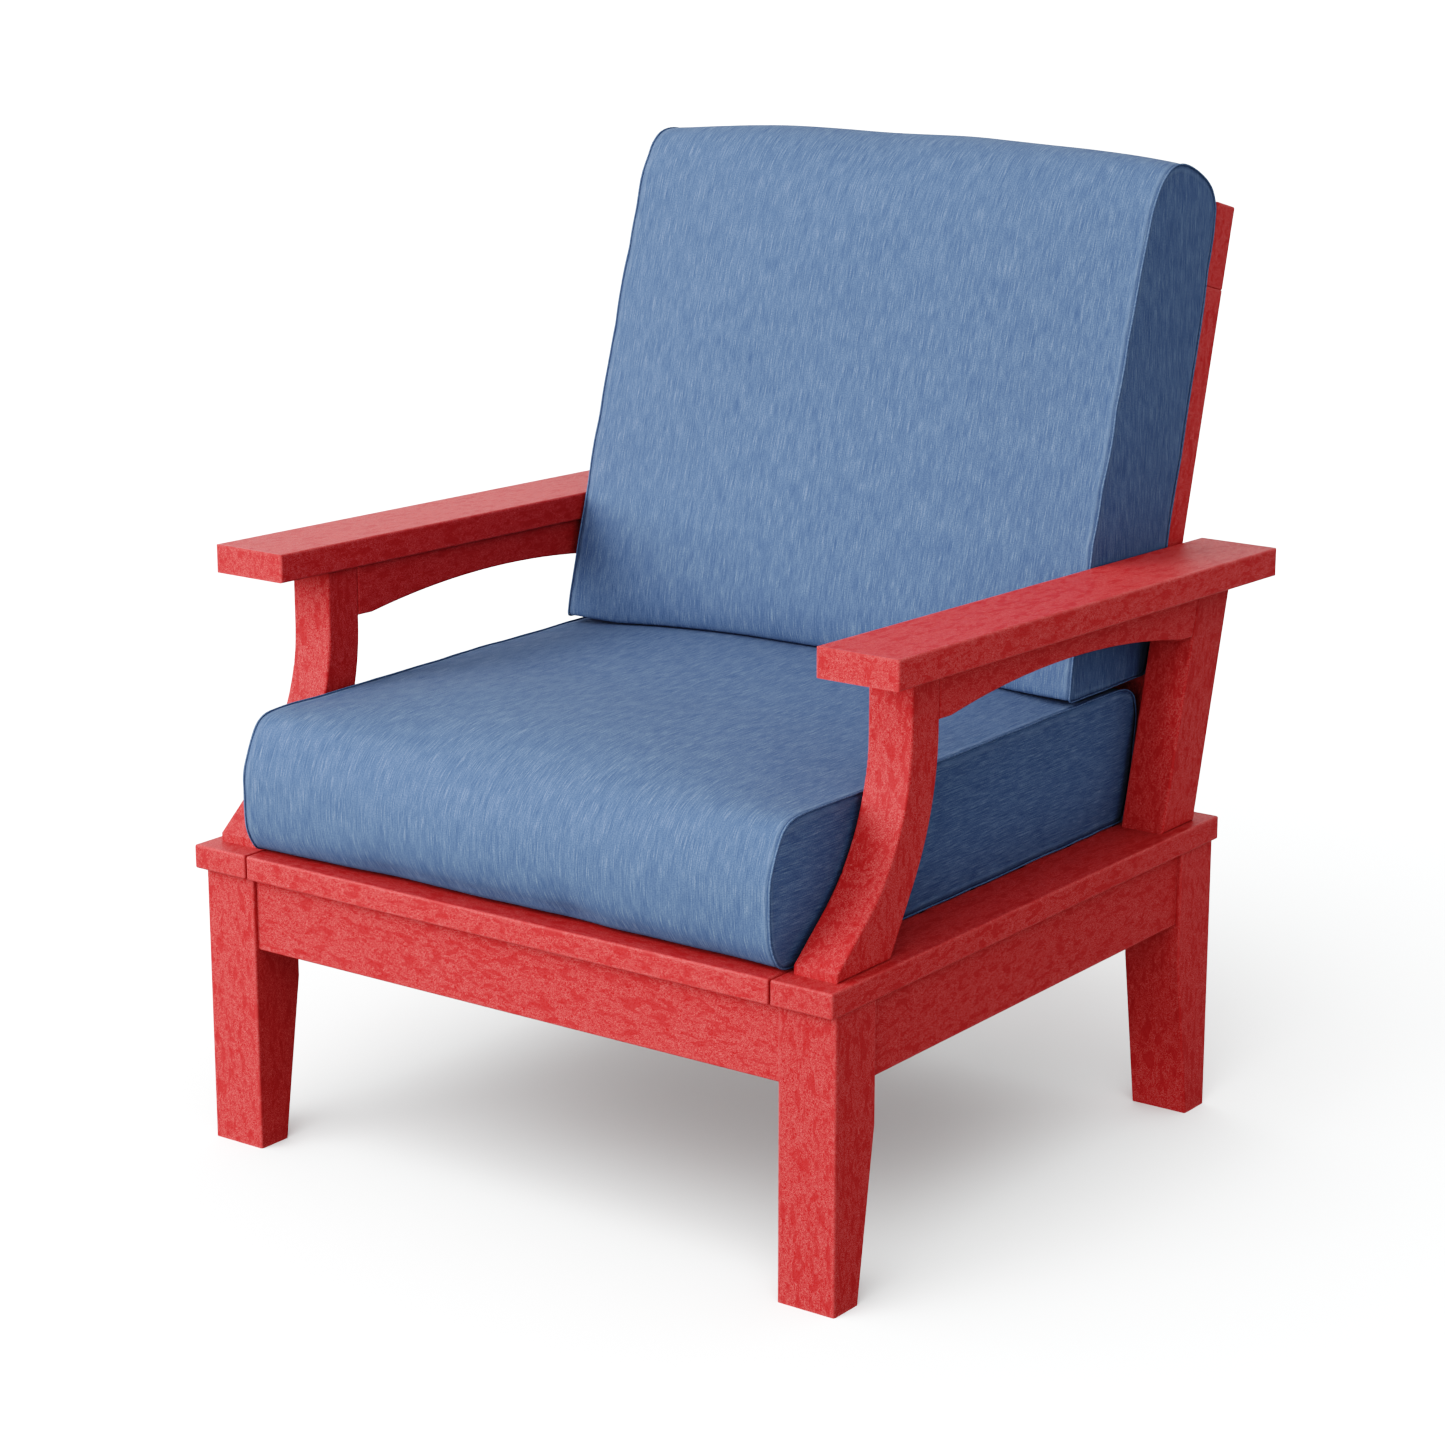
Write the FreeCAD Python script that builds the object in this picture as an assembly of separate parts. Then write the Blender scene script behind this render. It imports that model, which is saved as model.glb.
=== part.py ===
import FreeCAD, Part

import math
import os

from FreeCAD import Vector

# A deep-seat lounge chair: a rigid frame of recycled-plastic boards with two loose cushions.
# Lengths are in millimetres. +Z is up, the sitter faces -Y, and +X is the sitter's left.
# While the pieces are made, y is measured from the front edge of the seat frame and z from the
# floor. The last section moves the origin to the middle of the footprint.

# ---- Driving dimensions -------------------------------------------------------------------------

# Boards
EDGE_RADIUS = 2.4            # easing on the long edges of every board
CAP_THICKNESS = 25.4         # boards of the seat's top
RAIL_THICKNESS = 38.1        # boards of the rails and of the back frame
POST_THICKNESS = 50.0        # boards of the arm posts and of the arched aprons

# Seat frame
SEAT_HALF_WIDTH = 400.0      # to the outer edge of a side cap
SEAT_DEPTH = 719.0           # length of a side cap
SEAT_TOP = 323.0             # top of the caps above the floor
CAP_WIDTH = 70.5
CAP_GAP = 2.0                # open joint between a side cap and the boards between the caps
RAIL_BOTTOM = 217.5
RAIL_RECESS = 5.0            # rails stand back this far from the legs' outer faces
REAR_CAP_WIDTH = 88.0
CLEAT_WIDTH = 50.0
CLEAT_HEIGHT = 38.1
SLAT_COUNT = 6
SLAT_WIDTH = 83.0

# Legs
LEG_SIZE = 65.5
FOOT_SIZE = 40.0             # what the taper leaves of the leg's depth at the floor
TAPER_TOP = 174.0            # height at which the taper starts
LEG_SIDE_INSET = 4.2
LEG_FRONT_INSET = 12.5
LEG_REAR_INSET = 4.5

# Arms
ARM_INNER_X = 330.4
ARM_WIDTH = 91.6
ARM_THICKNESS = 30.0
ARM_FRONT_Y = 69.6
ARM_REAR_Y = 784.8
ARM_FRONT_TOP = 624.6
ARM_FALL = math.tan(math.radians(1.65))   # the arm falls towards the back
APRON_DEPTH = 53.0
APRON_RISE = 19.0            # rise of the arch under an apron
APRON_FLAT = 22.0            # straight stretch at each end of the arch

# Arm posts
POST_INNER_X = 337.0
TOE_Y = 26.5                 # front of a front post's foot
FRONT_POST_FACE_Y = 146.0    # front face at the top
FRONT_POST_BACK_Y = 191.5    # back face at the top
SWEEP_TOP = 530.0            # both faces are upright above this height
FACE_SWEEP = (210.0, 50.0)   # radius and turn in degrees of the front face's curve
BACK_SWEEP = (280.0, 31.0)
REAR_POST_FRONT_Y = 621.5    # on the cap
REAR_POST_BACK_Y = 687.5     # on the cap, and the back frame's rear face in the same plane

# Back frame
LEAN = 14.3                  # degrees from upright, shared by the rear posts
BACK_HALF_WIDTH = 325.0
BACK_LENGTH = 645.0          # along the lean, from the cap to the top
BACK_RAIL_WIDTH = 88.9
BACK_RAIL_START = 15.0       # lower edge of the bottom rail above the cap, along the lean
STILE_WIDTH = 63.5
BACK_SLAT_COUNT = 5
BACK_SLAT_WIDTH = 80.0
BACK_SLAT_THICKNESS = 25.4
SLAT_LAP = 25.0              # overlap of a slat's end with the rail that it is let into

# Fasteners: shank radius, shank length, head radius, head height
RAIL_SCREW = (2.4, 63.0, 4.6, 3.0)
CLEAT_SCREW = (2.4, 72.0, 4.6, 3.0)
CAP_SCREW = (2.4, 52.0, 4.6, 3.0)
SLAT_SCREW = (2.1, 50.0, 4.0, 3.0)
POST_SCREW = (3.0, 98.0, 6.0, 4.0)
ARM_SCREW = (2.4, 40.0, 4.6, 3.0)
BACK_SCREW = (2.1, 29.0, 4.0, 3.0)
POCKET_ANGLE = 15.0          # slant of the rail screws
POCKET_LENGTH = 62.0         # from a rail screw's head back to the rail's inner face
BOLT_RADIUS = 4.0
BOLT_BITE = 40.0             # length of a back bolt inside the rear post
BOLT_HEAD = (7.5, 5.3)       # corner radius and height of the hexagon head
HEX_CORNERS = 6
WASHER = (4.2, 11.0, 1.6)    # bore radius, outer radius, thickness
SPACER_RADIUS = 12.7
DOWEL_RADIUS = 6.35
ARM_DOWEL_LENGTH = 40.0
BACK_DOWEL_LENGTH = 50.0
STUD_RADIUS = 5.0
STUD_IN_LEG = 40.0
STUD_IN_POST = 28.0
RAIL_SCREW_HEIGHTS = (12.0, 30.0)      # above a rail's lower edge
CLEAT_SCREW_SHARES = (0.14, 0.38, 0.62, 0.86)   # along a cleat
CAP_SCREW_INSET = 12.0                 # from the cap's inner edge
CAP_SCREW_OFFSET = 18.0                # along the cleat from the sideways screw
END_CAP_SCREWS_X = (-240.0, 0.0, 240.0)
END_CAP_SCREW_COVER = 5.0              # board left above a screw's tip
SLAT_SCREW_INSET = 12.0                # from a slat's end
SLAT_SCREW_OFFSET = 26.0               # to each side of a slat's middle
STUDS_Y = (66.0, 668.0)
POST_SCREWS_Y = (98.0, 641.0)
POST_SCREW_INSET = 8.0                 # from a post's inner face
ARM_SCREWS_Y = (260.0, 427.0, 600.0)
ARM_SCREW_DEPTH = 18.0                 # head below the arm's lower face
BACK_SCREW_OFFSET = 22.0               # to each side of a back slat's middle
TOP_DOWEL_INSETS = (16.0, 47.0)        # from a stile's outer edge
RAIL_DOWEL_INSET = 20.0                # from the bottom rail's edges
BACK_BOLT_HEIGHTS = (130.0, 215.0)     # along the lean, from the cap

# Cushions
SEAT_CUSHION_HALF_WIDTH = 326.0
BACK_CUSHION_HALF_WIDTH = 325.0
SEAT_CUSHION_EDGE_TOP = 472.0   # at the side seams
SEAT_CUSHION_CROWN = 18.0       # rise of the top from the side seams to the middle
BACK_CUSHION_DEPTH = 143.0
BACK_CUSHION_TOP = 668.0        # along the lean, from the cap
REST_GAP = 0.5                  # air left between a cushion and what it rests on
SEAT_CUSHION_FOOT_Y = (20.0, 640.0)             # front and rear edges of its underside
SEAT_CUSHION_NOSE = ((2.5, 397.0), (13.0, 438.0))   # (y, z) up the front
SEAT_CUSHION_ROLL = (30.0, 466.0)               # (y, z) on the roll over the front
SEAT_CUSHION_TOP_Y = (66.0, 655.0)              # front and rear edges of its top
SEAT_CUSHION_REAR_ROLL = ((663.0, 6.0), (666.0, 15.0))   # y, and drop from the top
BACK_CUSHION_FOOT = 60.0        # along the lean, below the seat cushion's top
BACK_CUSHION_REAR_ROLL = ((0.0, 26.0), (6.0, 9.0), (22.0, 0.0))    # in from the rear, drop
BACK_CUSHION_FRONT_ROLL = ((46.0, 0.0), (17.0, 13.0), (4.0, 44.0))   # in from the front, drop
BACK_CUSHION_WAIST = 400.0      # along the lean, where the front starts to thicken downwards
BACK_CUSHION_THICK = (6.0, 250.0)   # how much thicker, and from where down
COVER_THICKNESS = 8.0           # fabric and the fibre wrap sewn inside it

SIDES = {"left": 1.0, "right": -1.0}
NEARLY = 1e-6                   # tolerance for comparing directions
MOSTLY_UPRIGHT = 0.9

# ---- Sizes worked out from them -----------------------------------------------------------------

LEAN_TAN = math.tan(math.radians(LEAN))
CAP_BOTTOM = SEAT_TOP - CAP_THICKNESS
CAP_INNER_X = SEAT_HALF_WIDTH - CAP_WIDTH
LEG_OUTER_X = SEAT_HALF_WIDTH - LEG_SIDE_INSET
LEG_INNER_X = LEG_OUTER_X - LEG_SIZE
REAR_LEG_BACK_Y = SEAT_DEPTH - LEG_REAR_INSET
REAR_LEG_FRONT_Y = REAR_LEG_BACK_Y - LEG_SIZE
FRONT_LEG_BACK_Y = LEG_FRONT_INSET + LEG_SIZE
SIDE_RAIL_INNER_X = LEG_OUTER_X - RAIL_RECESS - RAIL_THICKNESS
CLEAT_INNER_X = SIDE_RAIL_INNER_X - CLEAT_WIDTH
POST_MIDDLE_X = POST_INNER_X + POST_THICKNESS / 2
STILE_INNER_X = BACK_HALF_WIDTH - STILE_WIDTH
FRONT_RAIL_Y = LEG_FRONT_INSET + RAIL_RECESS + RAIL_THICKNESS / 2
REAR_RAIL_Y = REAR_LEG_BACK_Y - RAIL_RECESS - RAIL_THICKNESS / 2
BETWEEN_CAPS_HALF = CAP_INNER_X - CAP_GAP


def arm_underside(y):
    """Height of the arms' lower face, which falls towards the back."""
    return ARM_FRONT_TOP - ARM_THICKNESS - ARM_FALL * (y - ARM_FRONT_Y)


def lean_meets_arm(y_on_cap, drop):
    """Point where a leaning line from the cap comes within drop of the arm's lower face."""
    level = arm_underside(0.0) - drop - SEAT_TOP
    y = (y_on_cap + LEAN_TAN * level) / (1.0 + LEAN_TAN * ARM_FALL)
    return y, arm_underside(y) - drop


# ---- Shape helpers ------------------------------------------------------------------------------

def block(x_range, y_range, z_range):
    low = Vector(x_range[0], y_range[0], z_range[0])
    size = [high - start for start, high in (x_range, y_range, z_range)]
    return Part.makeBox(*size, low)


def eased(solid, axis=None):
    """Ease the edges along axis, or all of them."""
    edges = solid.Edges
    if axis is not None:
        edges = [e for e in edges if abs(abs(e.tangentAt(e.FirstParameter).dot(axis)) - 1) < NEARLY]
    return solid.makeFillet(EDGE_RADIUS, edges)


def profile_wire(path, x=0.0):
    """Closed outline in the plane at x. The path holds (y, z) points, and a tuple of two such
    points stands for an arc through the first to the second."""
    def at(p):
        return Vector(x, p[0], p[1])

    edges = []
    here = path[0]
    for step in path[1:] + [path[0]]:
        if isinstance(step[0], tuple):
            edges.append(Part.Arc(at(here), at(step[0]), at(step[1])).toShape())
            here = step[1]
        else:
            edges.append(Part.makeLine(at(here), at(step)))
            here = step
    return Part.Wire(edges)


def side_board(path, x_range):
    """Board cut to a side profile, with its outline's edges eased."""
    face = Part.Face(profile_wire(path, x_range[0]))
    solid = face.extrude(Vector(x_range[1] - x_range[0], 0, 0))
    rims = [e for e in solid.Edges if abs(e.tangentAt(e.FirstParameter).x) < NEARLY]
    return solid.makeFillet(EDGE_RADIUS, rims)


def mirrored_range(side, low, high):
    return (low, high) if side > 0 else (-high, -low)


def leaned(shape):
    """Move a shape from the back frame's own upright axes, where z runs from the cap along the
    lean and y = 0 is the rear face, to its place on the chair."""
    placed = shape.copy()
    placed.rotate(Vector(0, 0, 0), Vector(1, 0, 0), -LEAN)
    placed.translate(Vector(0, REAR_POST_BACK_Y, SEAT_TOP))
    return placed


def rod(start, direction, length, radius):
    return Part.makeCylinder(radius, length, start, direction)


def screw(seat, direction, kind, access=0.0):
    """Screw whose head sits behind the point seat, and the hole that it needs. The access is how
    far the head's hole reaches back to the board's surface."""
    radius, length, head_radius, head_height = kind
    head = rod(seat, direction * -1, head_height, head_radius)
    body = head.fuse(rod(seat, direction, length, radius)).removeSplitter()
    hole = body
    if access > head_height:
        hole = body.fuse(rod(seat, direction * -1, access, head_radius)).removeSplitter()
    return body, hole


boards = {}       # node name to solid
fasteners = {}    # node name to a list of (solid, hole in the boards)


# ---- Seat frame ---------------------------------------------------------------------------------

def make_legs():
    for name, side in SIDES.items():
        x_range = mirrored_range(side, LEG_INNER_X, LEG_OUTER_X)
        for end, face, inward in (("front", LEG_FRONT_INSET, 1), ("rear", REAR_LEG_BACK_Y, -1)):
            outline = [
                (face, 0.0),
                (face + inward * FOOT_SIZE, 0.0),
                (face + inward * LEG_SIZE, TAPER_TOP),
                (face + inward * LEG_SIZE, CAP_BOTTOM),
                (face, CAP_BOTTOM),
            ]
            leg = Part.Face(profile_wire(outline, x_range[0])).extrude(
                Vector(LEG_SIZE, 0, 0))
            along = [e for e in leg.Edges if abs(e.tangentAt(e.FirstParameter).z) > MOSTLY_UPRIGHT]
            boards[end + "_" + name + "_leg"] = leg.makeFillet(EDGE_RADIUS, along)


def make_rails():
    height = (RAIL_BOTTOM, CAP_BOTTOM)
    half = RAIL_THICKNESS / 2
    for name, y in (("front_rail", FRONT_RAIL_Y), ("rear_rail", REAR_RAIL_Y)):
        rail = block((-LEG_INNER_X, LEG_INNER_X), (y - half, y + half), height)
        boards[name] = eased(rail, Vector(1, 0, 0))
    between_legs = (FRONT_LEG_BACK_Y, REAR_LEG_FRONT_Y)
    for name, side in SIDES.items():
        outer = SIDE_RAIL_INNER_X + RAIL_THICKNESS
        rail = block(mirrored_range(side, SIDE_RAIL_INNER_X, outer), between_legs, height)
        boards[name + "_side_rail"] = eased(rail, Vector(0, 1, 0))
        cleat = block(mirrored_range(side, CLEAT_INNER_X, SIDE_RAIL_INNER_X), between_legs,
                      (CAP_BOTTOM - CLEAT_HEIGHT, CAP_BOTTOM))
        boards[name + "_seat_cleat"] = eased(cleat, Vector(0, 1, 0))


def make_caps():
    level = (CAP_BOTTOM, SEAT_TOP)
    for name, side in SIDES.items():
        cap = block(mirrored_range(side, CAP_INNER_X, SEAT_HALF_WIDTH), (0, SEAT_DEPTH), level)
        boards[name + "_side_cap"] = eased(cap)
    across = (-BETWEEN_CAPS_HALF, BETWEEN_CAPS_HALF)
    rear_start = SEAT_DEPTH - REAR_CAP_WIDTH
    boards["front_cap"] = eased(block(across, (0, CAP_WIDTH), level))
    boards["rear_cap"] = eased(block(across, (rear_start, SEAT_DEPTH), level))
    gap = (rear_start - CAP_WIDTH - SLAT_COUNT * SLAT_WIDTH) / (SLAT_COUNT + 1)
    centres = []
    for i in range(SLAT_COUNT):
        start = CAP_WIDTH + gap + i * (SLAT_WIDTH + gap)
        slat = block(across, (start, start + SLAT_WIDTH), level)
        boards["seat_slat_%d" % (i + 1)] = eased(slat)
        centres.append(start + SLAT_WIDTH / 2)
    return centres


def fasten_rails():
    """Slanted screws from the rails' inner faces into the legs, two at each rail end."""
    slant = math.radians(POCKET_ANGLE)
    screws = []
    for z in (RAIL_BOTTOM + height for height in RAIL_SCREW_HEIGHTS):
        for side in (1, -1):
            for y, out in ((FRONT_RAIL_Y, -1), (REAR_RAIL_Y, 1)):
                way = Vector(side * math.cos(slant), out * math.sin(slant), 0)
                end = Vector(side * LEG_INNER_X, y, z)
                screws.append(screw(end - way * (RAIL_SCREW[1] / 2), way, RAIL_SCREW, POCKET_LENGTH))
            x = SIDE_RAIL_INNER_X + RAIL_THICKNESS / 2
            for y, run in ((FRONT_LEG_BACK_Y, -1), (REAR_LEG_FRONT_Y, 1)):
                way = Vector(side * math.sin(slant), run * math.cos(slant), 0)
                end = Vector(side * x, y, z)
                screws.append(screw(end - way * (RAIL_SCREW[1] / 2), way, RAIL_SCREW, POCKET_LENGTH))
    fasteners["rail_screws"] = screws


def fasten_cleats():
    """Screws through each cleat, sideways into its rail and upwards into the cap and the slats."""
    inner = REAR_LEG_FRONT_Y - FRONT_LEG_BACK_Y
    sideways = []
    upwards = []
    up = Vector(0, 0, 1)
    for side in (1, -1):
        for share in CLEAT_SCREW_SHARES:
            y = FRONT_LEG_BACK_Y + share * inner
            seat = Vector(side * (CLEAT_INNER_X + CLEAT_SCREW[3]), y,
                          CAP_BOTTOM - CLEAT_HEIGHT / 2)
            sideways.append(screw(seat, Vector(side, 0, 0), CLEAT_SCREW))
            under_cap = Vector(side * (CAP_INNER_X + CAP_SCREW_INSET), y + CAP_SCREW_OFFSET,
                               CAP_BOTTOM - CLEAT_HEIGHT + CAP_SCREW[3])
            upwards.append(screw(under_cap, up, CAP_SCREW))
    for y in (FRONT_RAIL_Y, REAR_RAIL_Y):
        for x in END_CAP_SCREWS_X:
            seat = Vector(x, y, SEAT_TOP - END_CAP_SCREW_COVER - CAP_SCREW[1])
            upwards.append(screw(seat, up, CAP_SCREW, seat.z - RAIL_BOTTOM))
    fasteners["cleat_screws"] = sideways
    fasteners["cap_screws"] = upwards


def fasten_slats(centres):
    seat_z = CAP_BOTTOM - CLEAT_HEIGHT + SLAT_SCREW[3]
    screws = []
    for side in (1, -1):
        for y in centres:
            for offset in (-SLAT_SCREW_OFFSET, SLAT_SCREW_OFFSET):
                seat = Vector(side * (BETWEEN_CAPS_HALF - SLAT_SCREW_INSET), y + offset, seat_z)
                screws.append(screw(seat, Vector(0, 0, 1), SLAT_SCREW))
    fasteners["seat_slat_screws"] = screws


# ---- Arms and their posts -----------------------------------------------------------------------

def swept_face(face_y, sweep):
    """Ends and middle of a post face's curve, and the point function of its straight foot."""
    radius, turn = sweep[0], math.radians(sweep[1])
    centre_y = face_y - radius

    def on_curve(angle):
        return centre_y + radius * math.cos(angle), SWEEP_TOP - radius * math.sin(angle)

    foot = on_curve(turn)
    rise = 1.0 / math.tan(turn)       # slope of the straight stretch below the curve
    return on_curve(0.0), on_curve(turn / 2), foot, rise


def make_posts():
    top, middle, foot, rise = swept_face(FRONT_POST_FACE_Y, FACE_SWEEP)
    toe_top = foot[1] - (foot[0] - TOE_Y) * rise
    back_top, back_middle, back_foot, back_rise = swept_face(FRONT_POST_BACK_Y, BACK_SWEEP)
    heel_y = back_foot[0] - (back_foot[1] - SEAT_TOP) / back_rise
    front_outline = [
        (TOE_Y, SEAT_TOP), (TOE_Y, toe_top), foot, (middle, top),
        (FRONT_POST_FACE_Y, arm_underside(FRONT_POST_FACE_Y)),
        (FRONT_POST_BACK_Y, arm_underside(FRONT_POST_BACK_Y)),
        back_top, (back_middle, back_foot), (heel_y, SEAT_TOP),
    ]
    rear_outline = [
        (REAR_POST_FRONT_Y, SEAT_TOP), lean_meets_arm(REAR_POST_FRONT_Y, 0.0),
        lean_meets_arm(REAR_POST_BACK_Y, 0.0), (REAR_POST_BACK_Y, SEAT_TOP),
    ]
    for name, side in SIDES.items():
        x_range = mirrored_range(side, POST_INNER_X, POST_INNER_X + POST_THICKNESS)
        boards[name + "_front_post"] = side_board(front_outline, x_range)
        boards[name + "_rear_post"] = side_board(rear_outline, x_range)


def make_arms():
    front_under = arm_underside(ARM_FRONT_Y)
    rear_under = arm_underside(ARM_REAR_Y)
    arm_outline = [
        (ARM_FRONT_Y, front_under), (ARM_FRONT_Y, front_under + ARM_THICKNESS),
        (ARM_REAR_Y, rear_under + ARM_THICKNESS), (ARM_REAR_Y, rear_under),
    ]
    start = FRONT_POST_BACK_Y
    rear_low = lean_meets_arm(REAR_POST_FRONT_Y, APRON_DEPTH)
    rear_high = lean_meets_arm(REAR_POST_FRONT_Y, 0.0)
    arch_front = start + APRON_FLAT
    arch_rear = rear_low[0] - APRON_FLAT
    arch_middle = (arch_front + arch_rear) / 2
    apron_outline = [
        (start, arm_underside(start)), (start, arm_underside(start) - APRON_DEPTH),
        (arch_front, arm_underside(arch_front) - APRON_DEPTH),
        ((arch_middle, arm_underside(arch_middle) - APRON_DEPTH + APRON_RISE),
         (arch_rear, arm_underside(arch_rear) - APRON_DEPTH)),
        rear_low, rear_high,
    ]
    for name, side in SIDES.items():
        arm_range = mirrored_range(side, ARM_INNER_X, ARM_INNER_X + ARM_WIDTH)
        boards[name + "_arm"] = side_board(arm_outline, arm_range)
        apron_range = mirrored_range(side, POST_INNER_X, POST_INNER_X + POST_THICKNESS)
        boards[name + "_arm_apron"] = side_board(apron_outline, apron_range)


def fasten_arms():
    """Hidden studs, screws and dowels that hold the posts, the aprons and the arms."""
    up = Vector(0, 0, 1)
    back = Vector(0, 1, 0)
    front_top_y = (FRONT_POST_FACE_Y + FRONT_POST_BACK_Y) / 2
    rear_top_y = (lean_meets_arm(REAR_POST_FRONT_Y, 0.0)[0]
                  + lean_meets_arm(REAR_POST_BACK_Y, 0.0)[0]) / 2
    apron_rear_y = lean_meets_arm(REAR_POST_FRONT_Y, APRON_DEPTH / 2)[0]
    half = ARM_DOWEL_LENGTH / 2
    studs, posts, dowels, arms = [], [], [], []
    for side in (1, -1):
        x = side * POST_MIDDLE_X
        for y in STUDS_Y:
            start = Vector(x, y, CAP_BOTTOM - STUD_IN_LEG)
            length = STUD_IN_LEG + CAP_THICKNESS + STUD_IN_POST
            studs.append(rod(start, up, length, STUD_RADIUS))
        for y in POST_SCREWS_Y:
            seat = Vector(side * (POST_INNER_X + POST_SCREW_INSET), y,
                          CAP_BOTTOM - CLEAT_HEIGHT + POST_SCREW[3])
            posts.append(screw(seat, up, POST_SCREW))
        for y in (front_top_y, rear_top_y):
            dowels.append(rod(Vector(x, y, arm_underside(y) - half), up, ARM_DOWEL_LENGTH,
                              DOWEL_RADIUS))
        for y in (FRONT_POST_BACK_Y, apron_rear_y):
            start = Vector(x, y - half, arm_underside(y) - APRON_DEPTH / 2)
            dowels.append(rod(start, back, ARM_DOWEL_LENGTH, DOWEL_RADIUS))
        for y in ARM_SCREWS_Y:
            seat = Vector(x, y, arm_underside(y) - ARM_SCREW_DEPTH)
            arms.append(screw(seat, up, ARM_SCREW, APRON_DEPTH))
    fasteners["post_studs"] = [(stud, stud) for stud in studs]
    fasteners["post_screws"] = posts
    fasteners["arm_dowels"] = [(dowel, dowel) for dowel in dowels]
    fasteners["arm_screws"] = arms


# ---- Back frame, made upright and then leaned ---------------------------------------------------

def make_back_frame():
    depth = (-RAIL_THICKNESS, 0.0)
    rail_low = BACK_LENGTH - BACK_RAIL_WIDTH
    top_rail = eased(block((-BACK_HALF_WIDTH, BACK_HALF_WIDTH), depth, (rail_low, BACK_LENGTH)))
    bottom_rail = eased(block((-STILE_INNER_X, STILE_INNER_X), depth,
                              (BACK_RAIL_START, BACK_RAIL_START + BACK_RAIL_WIDTH)),
                        Vector(1, 0, 0))
    slat_z = (BACK_RAIL_START + BACK_RAIL_WIDTH - SLAT_LAP, rail_low + SLAT_LAP)
    slat_y = (-RAIL_THICKNESS, -RAIL_THICKNESS + BACK_SLAT_THICKNESS)
    gap = (2 * STILE_INNER_X - BACK_SLAT_COUNT * BACK_SLAT_WIDTH) / (BACK_SLAT_COUNT + 1)
    centres = []
    for i in range(BACK_SLAT_COUNT):
        start = -STILE_INNER_X + gap + i * (BACK_SLAT_WIDTH + gap)
        blank = block((start, start + BACK_SLAT_WIDTH), slat_y, slat_z)
        top_rail = top_rail.cut(blank)
        bottom_rail = bottom_rail.cut(blank)
        boards["back_slat_%d" % (i + 1)] = leaned(eased(blank, Vector(0, 0, 1)))
        centres.append(start + BACK_SLAT_WIDTH / 2)
    boards["back_top_rail"] = leaned(top_rail)
    boards["back_bottom_rail"] = leaned(bottom_rail)

    foot = RAIL_THICKNESS * LEAN_TAN      # the stile's front edge reaches further down
    below_cap = block((-SEAT_HALF_WIDTH, SEAT_HALF_WIDTH), (0, SEAT_DEPTH), (0, SEAT_TOP))
    for name, side in SIDES.items():
        stile = block(mirrored_range(side, STILE_INNER_X, BACK_HALF_WIDTH), depth,
                      (-foot, rail_low))
        stile = leaned(eased(stile, Vector(0, 0, 1)))
        boards[name + "_back_stile"] = stile.cut(below_cap)
    return centres, slat_z


def fasten_back(slat_centres, slat_z):
    """Screws of the slats, dowels of the corners, and the bolts that hold the back frame to the
    rear posts with a spacer between."""
    forward = Vector(0, -1, 0)
    screws, dowels, bolts, washers, spacers = [], [], [], [], []
    for z in (slat_z[0] + SLAT_LAP / 2, slat_z[1] - SLAT_LAP / 2):
        for x in slat_centres:
            for offset in (-BACK_SCREW_OFFSET, BACK_SCREW_OFFSET):
                screws.append(screw(Vector(x + offset, -BACK_SCREW[3], z), forward, BACK_SCREW))

    middle = -RAIL_THICKNESS / 2
    half = BACK_DOWEL_LENGTH / 2
    top_joint = BACK_LENGTH - BACK_RAIL_WIDTH
    radius, height = BOLT_HEAD
    for side in (1, -1):
        for inset in TOP_DOWEL_INSETS:
            start = Vector(side * (BACK_HALF_WIDTH - inset), middle, top_joint - half)
            dowels.append(rod(start, Vector(0, 0, 1), BACK_DOWEL_LENGTH, DOWEL_RADIUS))
        for z in (BACK_RAIL_START + RAIL_DOWEL_INSET,
                  BACK_RAIL_START + BACK_RAIL_WIDTH - RAIL_DOWEL_INSET):
            start = Vector(side * (STILE_INNER_X - half), middle, z)
            dowels.append(rod(start, Vector(side, 0, 0), BACK_DOWEL_LENGTH, DOWEL_RADIUS))
        for z in BACK_BOLT_HEIGHTS:
            out = Vector(side, 0, 0)
            seat = Vector(side * (STILE_INNER_X - WASHER[2]), middle, z)
            corners = []
            for k in range(HEX_CORNERS + 1):
                angle = 2 * math.pi * k / HEX_CORNERS
                corners.append(seat + Vector(0, radius * math.cos(angle),
                                             radius * math.sin(angle)))
            head = Part.Face(Part.makePolygon(corners)).extrude(out * -height)
            length = WASHER[2] + STILE_WIDTH + POST_INNER_X - BACK_HALF_WIDTH + BOLT_BITE
            shank = rod(seat, out, length, BOLT_RADIUS)
            bolts.append((head.fuse(shank).removeSplitter(), shank))
            ring = rod(seat, out, WASHER[2], WASHER[1]).cut(rod(seat, out, WASHER[2], WASHER[0]))
            washers.append(ring)
            edge = Vector(side * BACK_HALF_WIDTH, middle, z)
            gap = POST_INNER_X - BACK_HALF_WIDTH
            sleeve = rod(edge, out, gap, SPACER_RADIUS).cut(rod(edge, out, gap, WASHER[0]))
            spacers.append(sleeve)
    fasteners["back_slat_screws"] = [(leaned(s), leaned(h)) for s, h in screws]
    fasteners["back_dowels"] = [(leaned(d), leaned(d)) for d in dowels]
    fasteners["back_bolts"] = [(leaned(b), leaned(h)) for b, h in bolts]
    fasteners["back_bolt_washers"] = [(leaned(w), None) for w in washers]
    fasteners["back_spacers"] = [(leaned(s), None) for s in spacers]


def drill_boards():
    """Cut each fastener's hole from every board that it passes through."""
    for name, board in boards.items():
        holes = [hole for group in fasteners.values() for _, hole in group
                 if hole is not None and hole.BoundBox.intersect(board.BoundBox)]
        if holes:
            boards[name] = board.cut(holes)


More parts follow.
